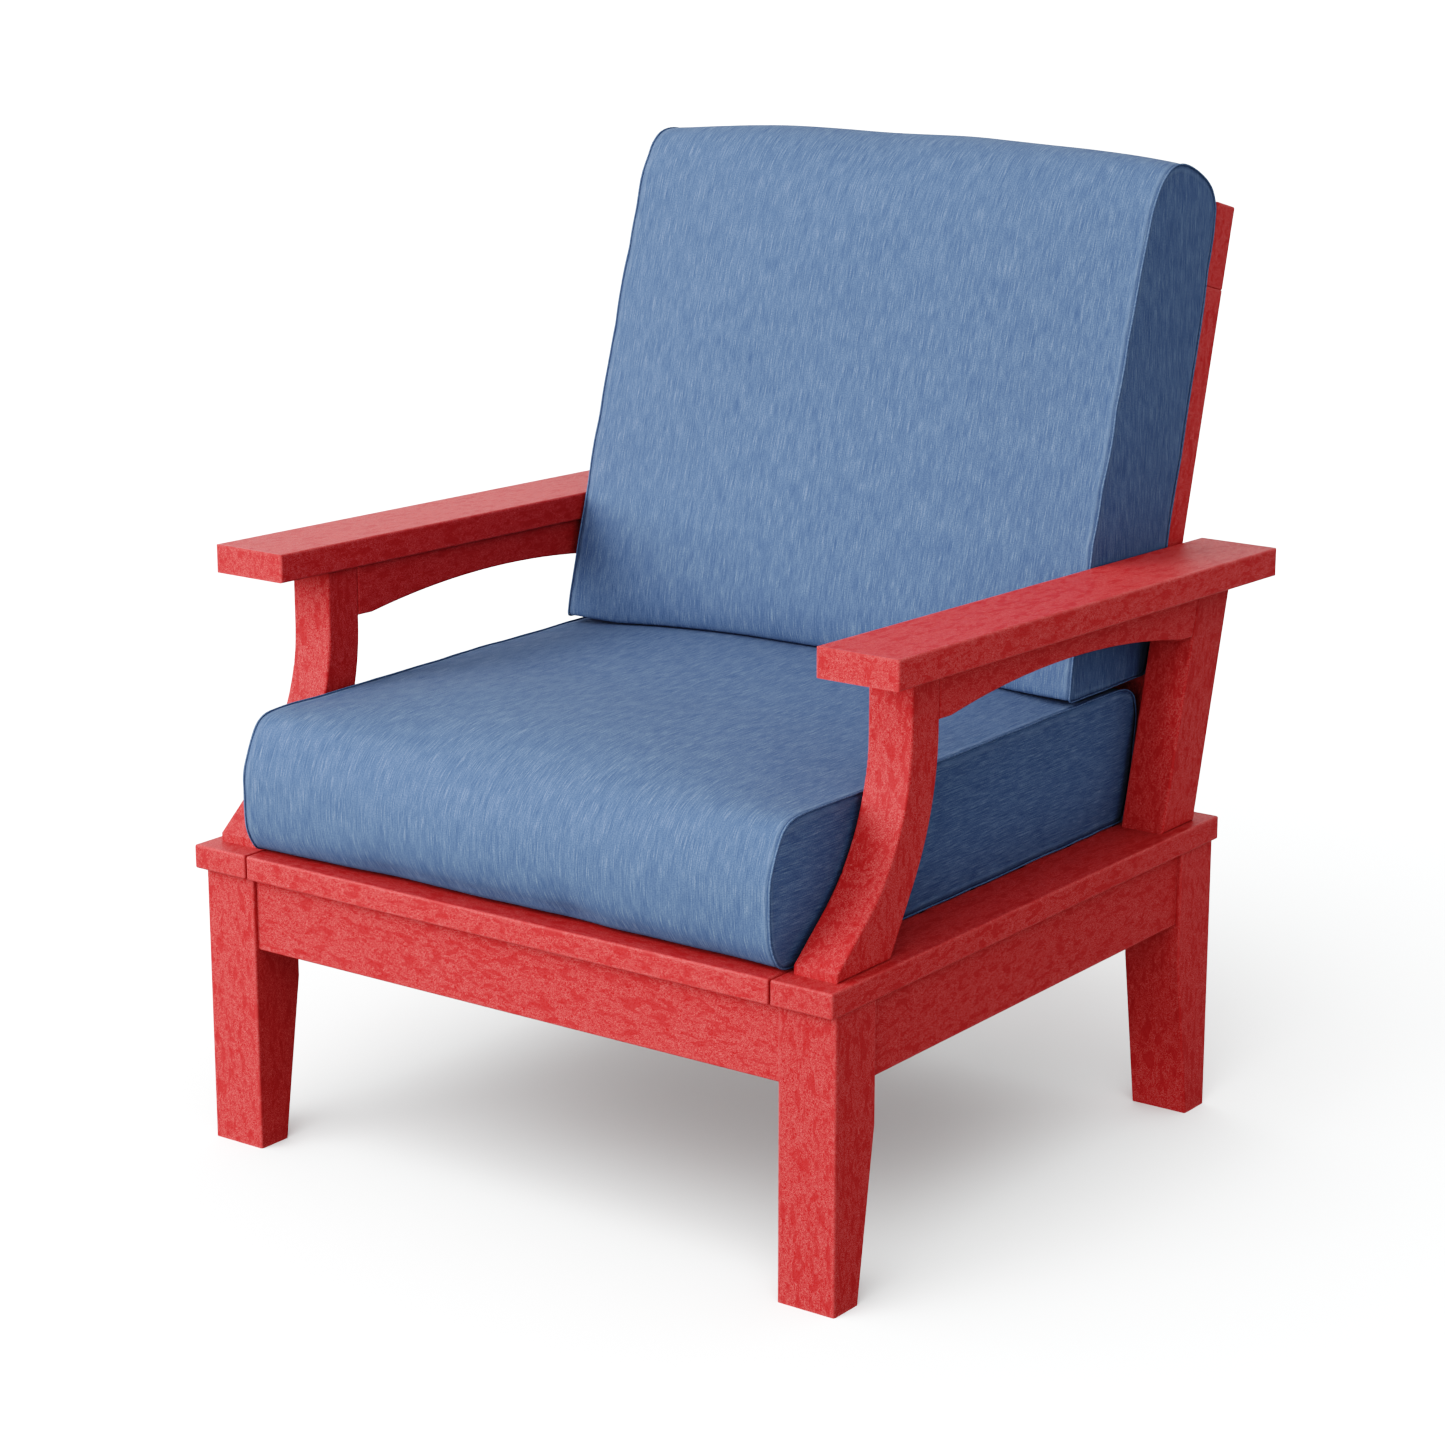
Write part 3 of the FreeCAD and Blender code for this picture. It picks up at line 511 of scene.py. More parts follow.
def fitting_material(name, light, dark, grain, roughness, metallic, strength):
    """Metal, plastic or foam with a fine grain of its own. Light and dark are screen colours."""
    material, tree, shader = new_material(name)
    where = add_node(tree, "ShaderNodeTexCoord")
    fine = clouds(tree, stretched(tree, where.outputs["Object"], per_metre(grain)), **GRAIN_NOISE)
    tree.links.new(blended(tree, fine, from_screen(*dark), from_screen(*light)),
                   shader.inputs["Base Color"])
    tree.links.new(remapped(tree, fine, 0.3, 0.7, *roughness), shader.inputs["Roughness"])
    shader.inputs["Metallic"].default_value = metallic
    bump = add_node(tree, "ShaderNodeBump", Strength=strength, Distance=GRAIN_HEIGHT)
    tree.links.new(fine, bump.inputs["Height"])
    tree.links.new(bump.outputs[0], shader.inputs["Normal"])
    return material


steel = fitting_material("brushed stainless", light=(205, 206, 208), dark=(160, 162, 166),
                         grain=(0.0006, 0.0006, 0.006), roughness=(0.24, 0.42), metallic=1.0,
                         strength=0.3)
moulded = fitting_material("black spacer plastic", light=(48, 48, 50), dark=(28, 28, 30),
                           grain=(0.0012, 0.0012, 0.0012), roughness=(0.5, 0.7), metallic=0.0,
                           strength=0.5)
rod_plastic = fitting_material("dowel plastic", light=(150, 42, 42), dark=(138, 32, 34),
                               grain=(0.002, 0.002, 0.008), roughness=(0.5, 0.65), metallic=0.0,
                               strength=0.4)
foam = fitting_material("foam", light=(236, 232, 214), dark=(222, 216, 196),
                        grain=(0.003, 0.003, 0.003), roughness=(0.85, 0.98), metallic=0.0,
                        strength=0.6)
FITTINGS = {
    "rail_screws": steel, "cleat_screws": steel, "cap_screws": steel, "seat_slat_screws": steel,
    "post_screws": steel, "arm_screws": steel, "back_slat_screws": steel, "post_studs": steel,
    "back_bolts": steel, "back_bolt_washers": steel, "arm_dowels": rod_plastic,
    "back_dowels": rod_plastic, "back_spacers": moulded,
    "seat_cushion_core": foam, "back_cushion_core": foam,
}
for name, material in FITTINGS.items():
    finish_node(name, material)
print("fittings finished:", len(FITTINGS))

# %% [markdown]
# ## Woven cushion cloth
# Outdoor cushion cloth is woven from yarn that was dyed before spinning, in a few close blues. The
# yarns along the cloth have slubs, thick pale stretches a centimetre or two long, and they show as
# fine streaks. The yarns across are thinner and almost hidden. The streaks follow the cloth round
# the cushion's corners, so this pattern can't run straight through space as the lumber's does. It
# reads a UV map in metres, with V along the cloth.

# %% The weave group
YARN = 0.0009                # metres from one yarn to the next
SLUB_SIZE = (0.0010, 0.0170, 1.0)
LONG_SLUB_SIZE = (0.0012, 0.045, 1.0)
WEFT_SIZE = (0.0018, 0.0011, 1.0)
MOTTLE_SIZE = (0.012, 0.030, 1.0)
LONG_SHARE = 0.4             # of the long slubs in the streaks

weave, given, made = new_group(
    "slub weave",
    {"Vector": ("Vector", None)},
    {"Slub": ("Float", None), "Weft": ("Float", None), "Mottle": ("Float", None),
     "Thread": ("Float", None)})
cloth_place = given.outputs["Vector"]
short_slub = clouds(weave, stretched(weave, cloth_place, per_metre(SLUB_SIZE)), roughness=0.55)
long_slub = clouds(weave, stretched(weave, cloth_place, per_metre(LONG_SLUB_SIZE)))
weft = clouds(weave, stretched(weave, cloth_place, per_metre(WEFT_SIZE)), detail=1.0)
mottle = clouds(weave, stretched(weave, cloth_place, per_metre(MOTTLE_SIZE)), detail=3.0,
                roughness=0.6)
turns = add_node(weave, "ShaderNodeSeparateXYZ")
weave.links.new(stretched(weave, cloth_place, (2 * math.pi / YARN, 2 * math.pi / YARN, 1)),
                turns.inputs[0])
thread = maths(weave, "MULTIPLY", maths(weave, "SINE", turns.outputs[0]),
               maths(weave, "SINE", turns.outputs[1]))
slub = maths(weave, "ADD", maths(weave, "MULTIPLY", short_slub, 1 - LONG_SHARE),
             maths(weave, "MULTIPLY", long_slub, LONG_SHARE))
for socket, value in (("Slub", slub), ("Weft", weft), ("Mottle", mottle), ("Thread", thread)):
    weave.links.new(value, made.inputs[socket])
print("weave group has", len(weave.nodes), "nodes")

# %% Cloth material
CLOTH_MID = from_screen(74, 90, 116)
CLOTH_PALE = from_screen(114, 129, 147)
CLOTH_DEEP = from_screen(50, 66, 95)
MOTTLE_RANGE = (0.3, 0.7)
GROUND_DEEPER, GROUND_PALER = 0.22, 0.08
PALE_SLUBS = (0.50, 0.68, 0.0, 0.44)   # noise where they start and are full, least and most colour
DEEP_SLUBS = (0.50, 0.34, 0.0, 0.56)
CROSS_YARNS = (0.44, 0.64, 0.0, 0.40)
# Painted shade in the groove beside the seam, and a painted highlight on the ridge over the folded
# edge.
GROOVE_PAINTED_SHADE, ALLOWANCE_PAINTED_HIGHLIGHT = 0.35, 0.12
CLOTH_ROUGHNESS = (0.3, 0.7, 0.95, 0.82)
CLOTH_SHINE = 0.06
SHEEN, SHEEN_ROUGHNESS = 0.02, 0.4
SLUB_HEIGHT, THREAD_HEIGHT, ALLOWANCE_HEIGHT = 0.0006, 0.00006, 0.0007
CLOTH_BUMP = {"Strength": 0.6, "Distance": 1.0}
SEAM_GROOVE = 0.0016
ALLOWANCE = (0.002, 0.005, 0.0095)   # the folded edge under the cloth: start, top and end


def cloth_material(name, offset):
    """Slubbed blue cloth, with painted shade in the seam's groove and a painted highlight on the
    ridge over the folded edge. The mesh carries the distance to the nearest seam as an attribute.
    """
    material, tree, shader = new_material(name)
    on_cloth = add_node(tree, "ShaderNodeUVMap", uv_map="cloth")
    own_place = add_node(tree, "ShaderNodeVectorMath", operation="ADD")
    tree.links.new(on_cloth.outputs[0], own_place.inputs[0])
    own_place.inputs[1].default_value = offset
    yarns = place_group(tree, weave)
    tree.links.new(own_place.outputs[0], yarns.inputs["Vector"])
    seam = add_node(tree, "ShaderNodeAttribute", attribute_name="seam")

    ground = blended(tree, remapped(tree, yarns.outputs["Mottle"], *MOTTLE_RANGE),
                     blended(tree, GROUND_DEEPER, CLOTH_MID, CLOTH_DEEP),
                     blended(tree, GROUND_PALER, CLOTH_MID, CLOTH_PALE))
    streaked = blended(tree, remapped(tree, yarns.outputs["Slub"], *PALE_SLUBS), ground, CLOTH_PALE)
    shaded = blended(tree, remapped(tree, yarns.outputs["Slub"], *DEEP_SLUBS), streaked, CLOTH_DEEP)
    crossed = blended(tree, remapped(tree, yarns.outputs["Weft"], *CROSS_YARNS), shaded, CLOTH_DEEP)
    # Painted shade: the cloth is darkened in the groove right beside the seam.
    groove = remapped(tree, seam.outputs["Fac"], 0.0, SEAM_GROOVE, 1.0, 0.0)
    start, top, end = ALLOWANCE
    allowance = maths(tree, "MULTIPLY", remapped(tree, seam.outputs["Fac"], start, top),
                      remapped(tree, seam.outputs["Fac"], top, end, 1.0, 0.0))
    groove_shaded = blended(tree, maths(tree, "MULTIPLY", groove, GROOVE_PAINTED_SHADE), crossed, CLOTH_DEEP)
    # Painted highlight: the ridge over the folded edge is mixed paler, where it would catch the
    # light.
    allowance_highlit = blended(tree, maths(tree, "MULTIPLY", allowance, ALLOWANCE_PAINTED_HIGHLIGHT), groove_shaded, CLOTH_PALE)
    tree.links.new(allowance_highlit, shader.inputs["Base Color"])
    tree.links.new(remapped(tree, yarns.outputs["Slub"], *CLOTH_ROUGHNESS),
                   shader.inputs["Roughness"])
    shader.inputs["Specular IOR Level"].default_value = CLOTH_SHINE
    shader.inputs["Sheen Weight"].default_value = SHEEN
    shader.inputs["Sheen Roughness"].default_value = SHEEN_ROUGHNESS
    thickness = maths(tree, "ADD", maths(tree, "MULTIPLY", yarns.outputs["Slub"], SLUB_HEIGHT),
                      maths(tree, "MULTIPLY", yarns.outputs["Thread"], THREAD_HEIGHT))
    raised = maths(tree, "ADD", thickness, maths(tree, "MULTIPLY", allowance, ALLOWANCE_HEIGHT))
    bump = add_node(tree, "ShaderNodeBump", **CLOTH_BUMP)
    tree.links.new(raised, bump.inputs["Height"])
    tree.links.new(bump.outputs[0], shader.inputs["Normal"])
    return material


seat_cloth = cloth_material("seat cushion cloth", (0.0, 0.0, 0.0))
back_cloth = cloth_material("back cushion cloth", (3.1, 5.7, 0.0))
print("cloth materials:", seat_cloth.name, "and", back_cloth.name)

# %% [markdown]
# ## The two cushions
# Each cushion is one long panel of cloth that wraps over the front, the top and the bottom, with a
# flat piece let in at each side, and thick foam pressed inside. Stuffing pushes the panel out into
# a crown, the sewn edges hold it back, and it is flat only where it rests on something.
#
# A block is cut into a fine grid and its four long faces are bent to the cushion's side outline.
# The seams then lie on real edges of the mesh. Cloth simulation blows the block up from inside
# while the seams are pinned, and what it moves is scaled to the crown a cushion of this foam has.

# %% From a few points to a side outline
STEPS_PER_POINT = 24


def smooth_line(points, count):
    """Count + 1 evenly spaced points on a smooth line through the given ones."""
    points = np.array(points, float)
    padded = np.vstack([2 * points[0] - points[1], points, 2 * points[-1] - points[-2]])
    fine = []
    for a, b, c, d in zip(padded, padded[1:], padded[2:], padded[3:]):
        t = np.linspace(0, 1, STEPS_PER_POINT, endpoint=False)[:, None]
        fine.append(0.5 * (2 * b + (c - a) * t + (2 * a - 5 * b + 4 * c - d) * t ** 2
                           + (3 * b - a - 3 * c + d) * t ** 3))
    fine = np.vstack(fine + [points[-1:]])
    run = np.concatenate([[0], np.cumsum(np.linalg.norm(np.diff(fine, axis=0), axis=1))])
    steps = np.linspace(0, run[-1], count + 1)
    return np.stack([np.interp(steps, run, fine[:, i]) for i in range(2)], 1), run[-1]


def outline_patch(bottom, front, top, rear, corners, u, v):
    """Point of the side outline's inside for u from front to rear and v from bottom to top.
    The corners are the lower front, lower rear, upper front and upper rear ones."""
    u, v = u[:, None], v[:, None]
    low_front, low_rear, high_front, high_rear = corners
    along_u = (1 - v) * bottom + v * top
    along_v = (1 - u) * front + u * rear
    between = ((1 - u) * (1 - v) * low_front + u * (1 - v) * low_rear
               + (1 - u) * v * high_front + u * v * high_rear)
    return along_u + along_v - between


print("outline helpers ready")

# %% Cut a block to the outline
CELL = 0.010                 # width of one face of the grid, before it is halved at the end
SIDE_PIECE_PLACE = 2.0       # where the side pieces lie in the cloth map, clear of the panel
ON_FACE = 1e-3               # how near 0 or 1 a grid share counts as on a face


def cut_block(name, half_width, sides, counts):
    """A block of counts cells across, deep and high, bent to the outline.
    The sides are the bottom, front, top and rear lines of the outline, as (y, z) points."""
    deselect()
    bpy.ops.mesh.primitive_cube_add(size=1)
    piece = bpy.context.object
    piece.name = piece.data.name = name
    bpy.ops.object.mode_set(mode="EDIT")
    for axis, cells in enumerate(counts):
        direction = [float(axis == i) for i in range(3)]
        for cut in range(1, cells):
            bpy.ops.mesh.select_all(action="SELECT")
            bpy.ops.mesh.bisect(plane_co=[(cut / cells - 0.5) * d for d in direction],
                                plane_no=direction)
    bpy.ops.object.mode_set(mode="OBJECT")

    grid = mesh_points(piece) + 0.5
    lines, lengths = {}, {}
    for side, points in sides.items():
        cells = counts[1] if side in ("bottom", "top") else counts[2]
        lines[side], lengths[side] = smooth_line(points, cells)

    def on(side, t):
        line = lines[side]
        at = np.clip(t, 0, 1) * (len(line) - 1)
        whole = np.arange(len(line))
        return np.stack([np.interp(at, whole, line[:, i]) for i in range(2)], 1)

    u, v = grid[:, 1], grid[:, 2]
    corners = (lines["bottom"][0], lines["bottom"][-1], lines["top"][0], lines["top"][-1])
    section = outline_patch(on("bottom", u), on("front", v), on("top", u), on("rear", v),
                            corners, u, v)
    placed = np.column_stack([(2 * grid[:, 0] - 1) * half_width, section])
    place_corners(piece, placed)
    return piece, grid, lengths


def map_cloth(piece, grid, half_width, lengths, side_is_upright):
    """Lay the cloth on: V runs round the panel from the front's lower edge, or along the side
    piece, and U across it, all in metres. Also store every point's distance from the seam."""
    mesh = piece.data
    points = mesh_points(piece)
    mesh.uv_layers.new(name="cloth")
    while len(mesh.uv_layers) > 1:
        mesh.uv_layers.remove(mesh.uv_layers[0])
    layer = mesh.uv_layers["cloth"]
    front, top, rear = lengths["front"], lengths["top"], lengths["rear"]
    for face in mesh.polygons:
        g = grid[list(face.vertices)]
        for loop, (a, u, v), p in zip(face.loop_indices, g, points[list(face.vertices)]):
            if np.all(g[:, 0] < ON_FACE) or np.all(g[:, 0] > 1 - ON_FACE):
                along, across = (p[2], p[1]) if side_is_upright else (p[1], p[2])
                layer.data[loop].uv = (across + SIDE_PIECE_PLACE + a, along)
                continue
            if np.all(g[:, 1] < ON_FACE):
                run = v * front
            elif np.all(g[:, 2] > 1 - ON_FACE):
                run = front + u * top
            elif np.all(g[:, 1] > 1 - ON_FACE):
                run = front + top + (1 - v) * rear
            else:
                run = front + top + rear + (1 - u) * lengths["bottom"]
            layer.data[loop].uv = (a * 2 * half_width, run)
    on_side = (grid[:, 0] < ON_FACE) | (grid[:, 0] > 1 - ON_FACE)
    across = half_width - np.abs(points[:, 0])
    tall = (lengths["front"] + lengths["rear"]) / 2
    deep = (lengths["top"] + lengths["bottom"]) / 2
    in_side = np.minimum(np.minimum(grid[:, 1], 1 - grid[:, 1]) * deep,
                         np.minimum(grid[:, 2], 1 - grid[:, 2]) * tall)
    distance = np.where(on_side, in_side, across)
    seam = mesh.attributes.new("seam", "FLOAT", "POINT")
    seam.data.foreach_set("value", distance.astype(np.float32))
    return on_side, distance


print("grid cell", CELL * 1000, "mm")

# %% Blow it up, with the seams pinned
PRESSURE = 4.0
LAST_FRAME = 20
CANVAS = {"quality": 5, "mass": 0.3, "tension_stiffness": 15, "compression_stiffness": 15,
          "shear_stiffness": 5, "bending_stiffness": 0.5}


def seam_corners(grid):
    """Which corners of the grid lie on the two seams."""
    at_end = (grid < ON_FACE) | (grid > 1 - ON_FACE)
    return at_end[:, 0] & (at_end[:, 1] | at_end[:, 2])


def blow_up(piece, pinned):
    """How far pressure moves every corner of the piece, as an array."""
    start = mesh_points(piece)
    group = piece.vertex_groups.new(name="seam")
    group.add([int(i) for i in np.flatnonzero(pinned)], 1.0, "REPLACE")
    cloth = piece.modifiers.new("cloth", "CLOTH")
    settings = cloth.settings
    for setting, value in CANVAS.items():
        setattr(settings, setting, value)
    settings.use_pressure = True
    settings.uniform_pressure_force = PRESSURE
    settings.effector_weights.gravity = 0
    settings.vertex_group_mass = group.name
    cloth.point_cache.frame_end = LAST_FRAME
    for moment in range(1, LAST_FRAME + 1):
        scene.frame_set(moment)
    deselect()
    piece.select_set(True)
    bpy.context.view_layer.objects.active = piece
    bpy.ops.object.modifier_apply(modifier=cloth.name)
    scene.frame_set(1)
    piece.vertex_groups.clear()
    return mesh_points(piece) - start, start


print("simulation: pressure", PRESSURE, "for", LAST_FRAME, "frames")

# %% Scale the swelling and let the cloth wander a little
SHOULDER = 0.45              # how gently the crown rises beside the seams
WAVE, PUCKER = 0.0016, 0.0016
WAVES, PUCKERS, SWAYS = 9.0, 42.0, 13.0      # noise per metre
PUCKER_PLACE, SWAY_PLACE = Vector((7, 3, 1)), Vector((2, 9, 4))
PUCKER_REACH, PUCKER_START = 0.022, 0.004    # metres from the seam
SEAM_SWAY, SWAY_REACH = 0.0035, 0.03         # how far a seam strays sideways, and the cloth by it


def swell(piece, grid, on_side, crown, side_crown):
    """Push the piece out until its panel stands crown proud of the seams, its sides side_crown."""
    pinned = seam_corners(grid)
    moved, start = blow_up(piece, pinned)
    moved[pinned] = 0
    underneath = grid[:, 2] < ON_FACE
    moved[underneath, 2] = 0
    size = np.linalg.norm(moved, axis=1)
    print(piece.name, "swelled by", round(float(size.max()) * 1000, 1), "mm before scaling")
    shoulder = (4 * grid[:, 0] * (1 - grid[:, 0])) ** SHOULDER
    moved[~on_side] *= shoulder[~on_side, None]
    size = np.linalg.norm(moved, axis=1)
    for region, wanted in ((~on_side, crown), (on_side, side_crown)):
        moved[region] *= wanted / np.percentile(size[region], 99)
    return start + moved


def wander(points, normals, distance):
    """Low waves all over, seams that sway, and small puckers where the sewing gathers the cloth."""
    out = points.copy()
    for i, (p, n) in enumerate(zip(points, normals)):
        wave = noise.noise(Vector(p) * WAVES) * WAVE
        tuck = noise.noise(Vector(p) * PUCKERS + PUCKER_PLACE) * PUCKER
        fade = math.exp(-distance[i] / PUCKER_REACH) * min(1.0, distance[i] / PUCKER_START)
        sway = noise.noise(Vector(p) * SWAYS + SWAY_PLACE) * SEAM_SWAY
        sway *= math.exp(-distance[i] / SWAY_REACH)
        out[i] += n * (wave + tuck * fade) + Vector((math.copysign(sway, p[0]), 0, 0))
    return out


def corner_normals(piece):
    """The normal at every corner of a piece's mesh."""
    found = np.empty(len(piece.data.vertices) * 3, np.float32)
    piece.data.vertices.foreach_get("normal", found)
    return found.reshape(-1, 3).astype(float)


ON_SEAM = 1e-5
SEAM_CREASE = 0.7


def finish_cushion(piece, cloth):
    """Halve the grid once, keep the sewn edge firm, smooth the shading, give it its cloth."""
    mesh = piece.data
    seam = [a.value for a in mesh.attributes["seam"].data]
    crease = mesh.attributes.new("crease_edge", "FLOAT", "EDGE")
    for edge in mesh.edges:
        if max(seam[corner] for corner in edge.vertices) < ON_SEAM:
            crease.data[edge.index].value = SEAM_CREASE
    deselect()
    piece.select_set(True)
    bpy.context.view_layer.objects.active = piece
    halve = piece.modifiers.new("halve", "SUBSURF")
    halve.levels = halve.render_levels = 1
    bpy.ops.object.modifier_apply(modifier=halve.name)
    bpy.ops.object.shade_smooth()
    mesh.materials.clear()
    mesh.materials.append(cloth)
    print(piece.name, "has", len(mesh.polygons), "faces")


def seam_loop(grid, counts, side):
    """The seam's corners in order round the outline, from the front's lower edge upwards."""
    y_cells, z_cells = counts[1], counts[2]
    key = {tuple(k): i for i, k in enumerate(np.rint(grid * counts).astype(int))}
    across = 0 if side < 0 else counts[0]
    order = ([(across, 0, k) for k in range(z_cells)]
             + [(across, k, z_cells) for k in range(y_cells)]
             + [(across, y_cells, z_cells - k) for k in range(z_cells)]
             + [(across, y_cells - k, 0) for k in range(y_cells)])
    return [key[k] for k in order]


BEAD = 0.0010                # half the thickness of the rolled edge
BEAD_LIFT = 0.35             # share of that by which it stands out of the cloth
BEAD_UNEVEN = 0.25
BEAD_LUMPS = 60              # per metre


def sew_bead(name, points, normals, cloth):
    """The rolled edge of the seam: a thin closed tube along the seam."""
    line = bpy.data.curves.new(name, "CURVE")
    line.dimensions = "3D"
    line.bevel_depth = BEAD
    line.bevel_resolution = 2
    line.resolution_u = 2
    run = line.splines.new("NURBS")
    run.points.add(len(points) - 1)
    for target, p, n in zip(run.points, points, normals):
        target.co = (*(p + n * BEAD * BEAD_LIFT), 1)
        target.radius = 1 + BEAD_UNEVEN * noise.noise(Vector(p) * BEAD_LUMPS)
    run.use_cyclic_u = True
    run.order_u = 3
    bead = bpy.data.objects.new(name, line)
    scene.collection.objects.link(bead)
    deselect()
    bead.select_set(True)
    bpy.context.view_layer.objects.active = bead
    bpy.ops.object.convert(target="MESH")
    bead = bpy.context.object
    bpy.ops.object.shade_smooth()
    bead.data.materials.clear()
    bead.data.materials.append(cloth)
    return bead


BEAD_GRAIN = (0.0016, 0.0016, 0.0016)
BEAD_DARK, BEAD_PALE = 0.7, 0.25
BEAD_ROUGHNESS = (0.3, 0.7, 0.95, 0.85)
BEAD_BUMP = {"Strength": 0.5, "Distance": 0.0004}


def bead_material():
    """The same cloth folded over, without the streaks' direction."""
    material, tree, shader = new_material("seam cloth")
    where = add_node(tree, "ShaderNodeTexCoord")
    fine = clouds(tree, stretched(tree, where.outputs["Object"], per_metre(BEAD_GRAIN)))
    tree.links.new(blended(tree, remapped(tree, fine, 0.35, 0.65),
                           blended(tree, BEAD_DARK, CLOTH_DEEP, CLOTH_MID),
                           blended(tree, BEAD_PALE, CLOTH_MID, CLOTH_PALE)),
                   shader.inputs["Base Color"])
    tree.links.new(remapped(tree, fine, *BEAD_ROUGHNESS), shader.inputs["Roughness"])
    shader.inputs["Specular IOR Level"].default_value = CLOTH_SHINE
    bump = add_node(tree, "ShaderNodeBump", **BEAD_BUMP)
    tree.links.new(fine, bump.inputs["Height"])
    tree.links.new(bump.outputs[0], shader.inputs["Normal"])
    return material


seam_cloth = bead_material()
print("seam bead material:", seam_cloth.name)

# %% [markdown]
# ### The seat cushion
# It lies on the slats between the side boards. Its front hangs a little over the front board and
# leans back at the bottom, where the cloth is pulled under. The outline below is its side seam,
# measured from the cushion's own space in the frame.

# %% Seat cushion
SEAT_HALF = 0.327
SEAT_SIDES = {               # metres behind the cushion's front and above its underside
    "bottom": [(0.015, 0.0055), (0.060, 0.0), (0.330, 0.0), (0.639, 0.0)],
    "front": [(0.015, 0.0055), (0.0060, 0.020), (0.0014, 0.036), (0.0, 0.0675), (0.0008, 0.090),
              (0.0092, 0.1135)],
    "top": [(0.0092, 0.1135), (0.0230, 0.1375), (0.052, 0.1445), (0.150, 0.1440), (0.400, 0.1445),
            (0.600, 0.1445), (0.640, 0.1420), (0.655, 0.1330)],
    "rear": [(0.639, 0.0), (0.6485, 0.032), (0.657, 0.080), (0.6595, 0.112), (0.655, 0.1330)],
}
SEAT_SIZE = (2 * SEAT_HALF, 0.65, 0.15)   # only sets how many cells the grid has
SEAT_CROWN = 0.018
SEAT_SIDE_CROWN = 0.005
FOLD_HEIGHT = 0.45           # share of the front's height with soft folds
FOLD_DEPTH = 0.007
FOLDS_PER_METRE = 17.0
FOLD_PLACE = 4.0             # in the noise
seat_low, seat_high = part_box("seat_cushion_cover")
seat_rest = seat_low.z
seat_lines = {side: [(seat_low.y + y, seat_low.z + z) for y, z in points]
              for side, points in SEAT_SIDES.items()}
seat_counts = np.array([round(size / CELL) for size in SEAT_SIZE])
seat_cushion, seat_grid, seat_lengths = cut_block("seat_cushion", SEAT_HALF, seat_lines,
                                                  seat_counts)
seat_on_side, seat_distance = map_cloth(seat_cushion, seat_grid, SEAT_HALF, seat_lengths, False)
print("seat cushion grid", list(seat_counts), "corners", len(seat_grid))

# %% Stuff and settle the seat cushion
seat_points = swell(seat_cushion, seat_grid, seat_on_side, SEAT_CROWN, SEAT_SIDE_CROWN)
place_corners(seat_cushion, seat_points)
seat_points = wander(seat_points, corner_normals(seat_cushion), seat_distance)
low_front = (seat_grid[:, 1] < ON_FACE) * np.clip(1 - seat_grid[:, 2] / FOLD_HEIGHT, 0, 1)
low_front *= 4 * seat_grid[:, 0] * (1 - seat_grid[:, 0])
for i in np.flatnonzero(low_front > 0):
    fold = noise.noise(Vector((seat_points[i, 0] * FOLDS_PER_METRE, 0, FOLD_PLACE)))
    seat_points[i, 1] += FOLD_DEPTH * fold * low_front[i]
seat_points[:, 2] = np.maximum(seat_points[:, 2], seat_rest)
place_corners(seat_cushion, seat_points)
seat_normals = corner_normals(seat_cushion)
for side, word in ((1, "left"), (-1, "right")):
    loop = seam_loop(seat_grid, seat_counts, side)
    bead = sew_bead(f"seat_cushion_seam_{word}", [Vector(seat_points[i]) for i in loop],
                    [Vector(seat_normals[i]) for i in loop], seam_cloth)
    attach(bead, "seat_cushion")
finish_cushion(seat_cushion, seat_cloth)
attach(seat_cushion, "seat_cushion")
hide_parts("seat_cushion_cover", "seat_cushion_core")

# %% [markdown]
# ### The back cushion
# It leans on the back frame, so its outline is easiest to give in the frame's own leaning
# directions: forward from the boards and up along them. Its lower face is level, because it sits
# on the seat cushion, and follows the seat's crown. Two soft pieces are made to meet by moving the
# upper one's lower face onto the lower one's surface.

# %% Back cushion
BACK_HALF = 0.325
BACK_SIDES = {               # metres forward of the back frame and up along the lean
    "bottom": [(0.155, 0.108), (0.080, 0.1255), (0.008, 0.144)],
    "front": [(0.155, 0.108), (0.1575, 0.150), (0.1535, 0.260), (0.1490, 0.380), (0.1435, 0.500),
              (0.1380, 0.580), (0.1345, 0.615), (0.1280, 0.641)],
    "top": [(0.1280, 0.641), (0.1155, 0.6585), (0.0970, 0.6675), (0.0740, 0.6695), (0.0470, 0.6655),
            (0.0210, 0.6560), (0.0055, 0.6380)],
    "rear": [(0.008, 0.144), (0.0012, 0.160), (0.0006, 0.300), (0.0006, 0.500), (0.0012, 0.600),
             (0.0055, 0.6380)],
}
BACK_HUMP = 0.0115           # the foam itself is higher in the middle
HUMP_FROM = 0.6              # share of the height where that starts
BACK_SIZE = (2 * BACK_HALF, 0.14, 0.55)
BACK_CROWN = 0.017
BACK_SIDE_CROWN = 0.0035
RAIL_THICKNESS = 0.0381
cap_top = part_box("rear_cap")[1].z
LEAN_UP = Vector((0, math.sin(BACK_LEAN), math.cos(BACK_LEAN)))
LEAN_OUT = Vector((0, -math.cos(BACK_LEAN), math.sin(BACK_LEAN)))
rear_plane = float((mesh_points(nodes["left_back_stile"]) @ -np.array(LEAN_OUT)).max())
pivot = Vector((0, (rear_plane + cap_top * math.sin(BACK_LEAN)) / math.cos(BACK_LEAN), cap_top))
print("the back frame's rear face meets the caps at y =", round(pivot.y, 4))


def leaning_point(forward, up):
    """(y, z) of a point forward of the back frame's front face and up along it."""
    p = pivot + LEAN_OUT * (RAIL_THICKNESS + forward) + LEAN_UP * up
    return p.y, p.z


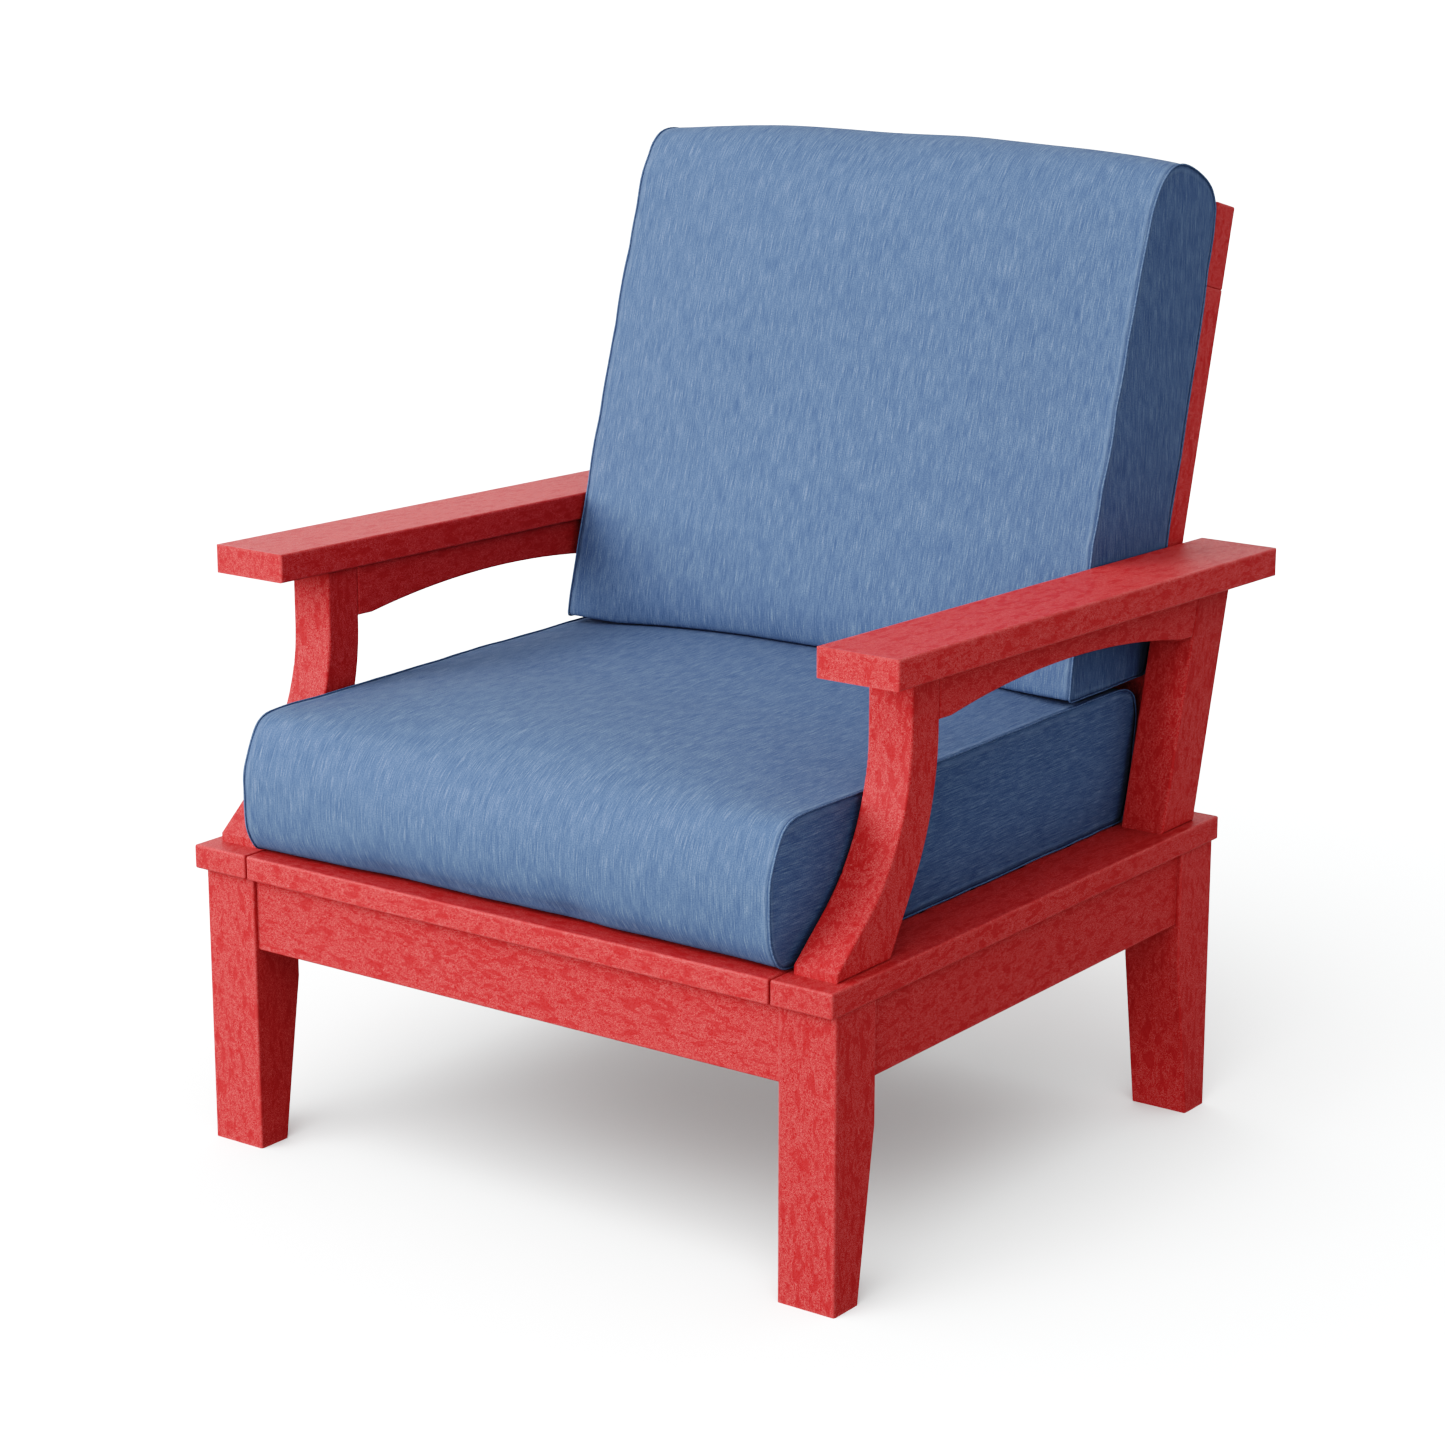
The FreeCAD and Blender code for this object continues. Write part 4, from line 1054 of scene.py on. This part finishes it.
back_lines = {side: [leaning_point(*p) for p in points] for side, points in BACK_SIDES.items()}
back_counts = np.array([round(size / CELL) for size in BACK_SIZE])
back_cushion, back_grid, back_lengths = cut_block("back_cushion", BACK_HALF, back_lines,
                                                  back_counts)
hump = 1 - (2 * back_grid[:, 0] - 1) ** 4
raised = np.clip((back_grid[:, 2] - HUMP_FROM) / (1 - HUMP_FROM), 0, 1) ** 2
place_corners(back_cushion,
              mesh_points(back_cushion) + np.outer(BACK_HUMP * hump * raised, LEAN_UP))
back_on_side, back_distance = map_cloth(back_cushion, back_grid, BACK_HALF, back_lengths, True)
print("back cushion grid", list(back_counts), "corners", len(back_grid))

# %% Stuff and settle the back cushion
back_points = swell(back_cushion, back_grid, back_on_side, BACK_CROWN, BACK_SIDE_CROWN)
place_corners(back_cushion, back_points)
back_points = wander(back_points, corner_normals(back_cushion), back_distance)
REST_AIR = 0.0006            # metres between the cushion and the boards it leans on
CUSHION_AIR = 0.001
LOOK_FROM = 0.2              # metres above the seat cushion from where its surface is looked for
forward = (back_points - np.array(pivot)) @ np.array(LEAN_OUT) - RAIL_THICKNESS
back_points += np.outer(np.maximum(REST_AIR - forward, 0), np.array(LEAN_OUT))
seat_surface = BVHTree.FromObject(seat_cushion, bpy.context.evaluated_depsgraph_get())
lift = 0
for i, p in enumerate(back_points):
    above = Vector((p[0], p[1], seat_high.z + LOOK_FROM))
    hit = seat_surface.ray_cast(above, Vector((0, 0, -1)))[0]
    if hit is not None and p[2] < hit.z + CUSHION_AIR:
        lift = max(lift, hit.z + CUSHION_AIR - p[2])
        back_points[i, 2] = hit.z + CUSHION_AIR
print("lower face raised by up to", round(lift * 1000, 1), "mm")
place_corners(back_cushion, back_points)
back_normals = corner_normals(back_cushion)
for side, word in ((1, "left"), (-1, "right")):
    loop = seam_loop(back_grid, back_counts, side)
    bead = sew_bead(f"back_cushion_seam_{word}", [Vector(back_points[i]) for i in loop],
                    [Vector(back_normals[i]) for i in loop], seam_cloth)
    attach(bead, "back_cushion")
finish_cushion(back_cushion, back_cloth)
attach(back_cushion, "back_cushion")
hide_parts("back_cushion_cover", "back_cushion_core")

# %% [markdown]
# ## Keep the front lamps off the paper
# In a studio a card between the lamp and the floor stops a second, hard-edged shadow. Here the
# two lamps in front are told which pieces they light, and the paper isn't one of them. The wide
# lamp is told to light nothing else.

# %% Tell the lamps what they light
lit = bpy.data.collections.new("lit by the key lamp")
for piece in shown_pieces():
    lit.objects.link(piece)
key.light_linking.receiver_collection = fill.light_linking.receiver_collection = lit
paper_only = bpy.data.collections.new("lit by the paper lamp")
paper_only.objects.link(floor)
paper_lamp.light_linking.receiver_collection = paper_only

# %% Update the scene
bpy.context.view_layer.update()
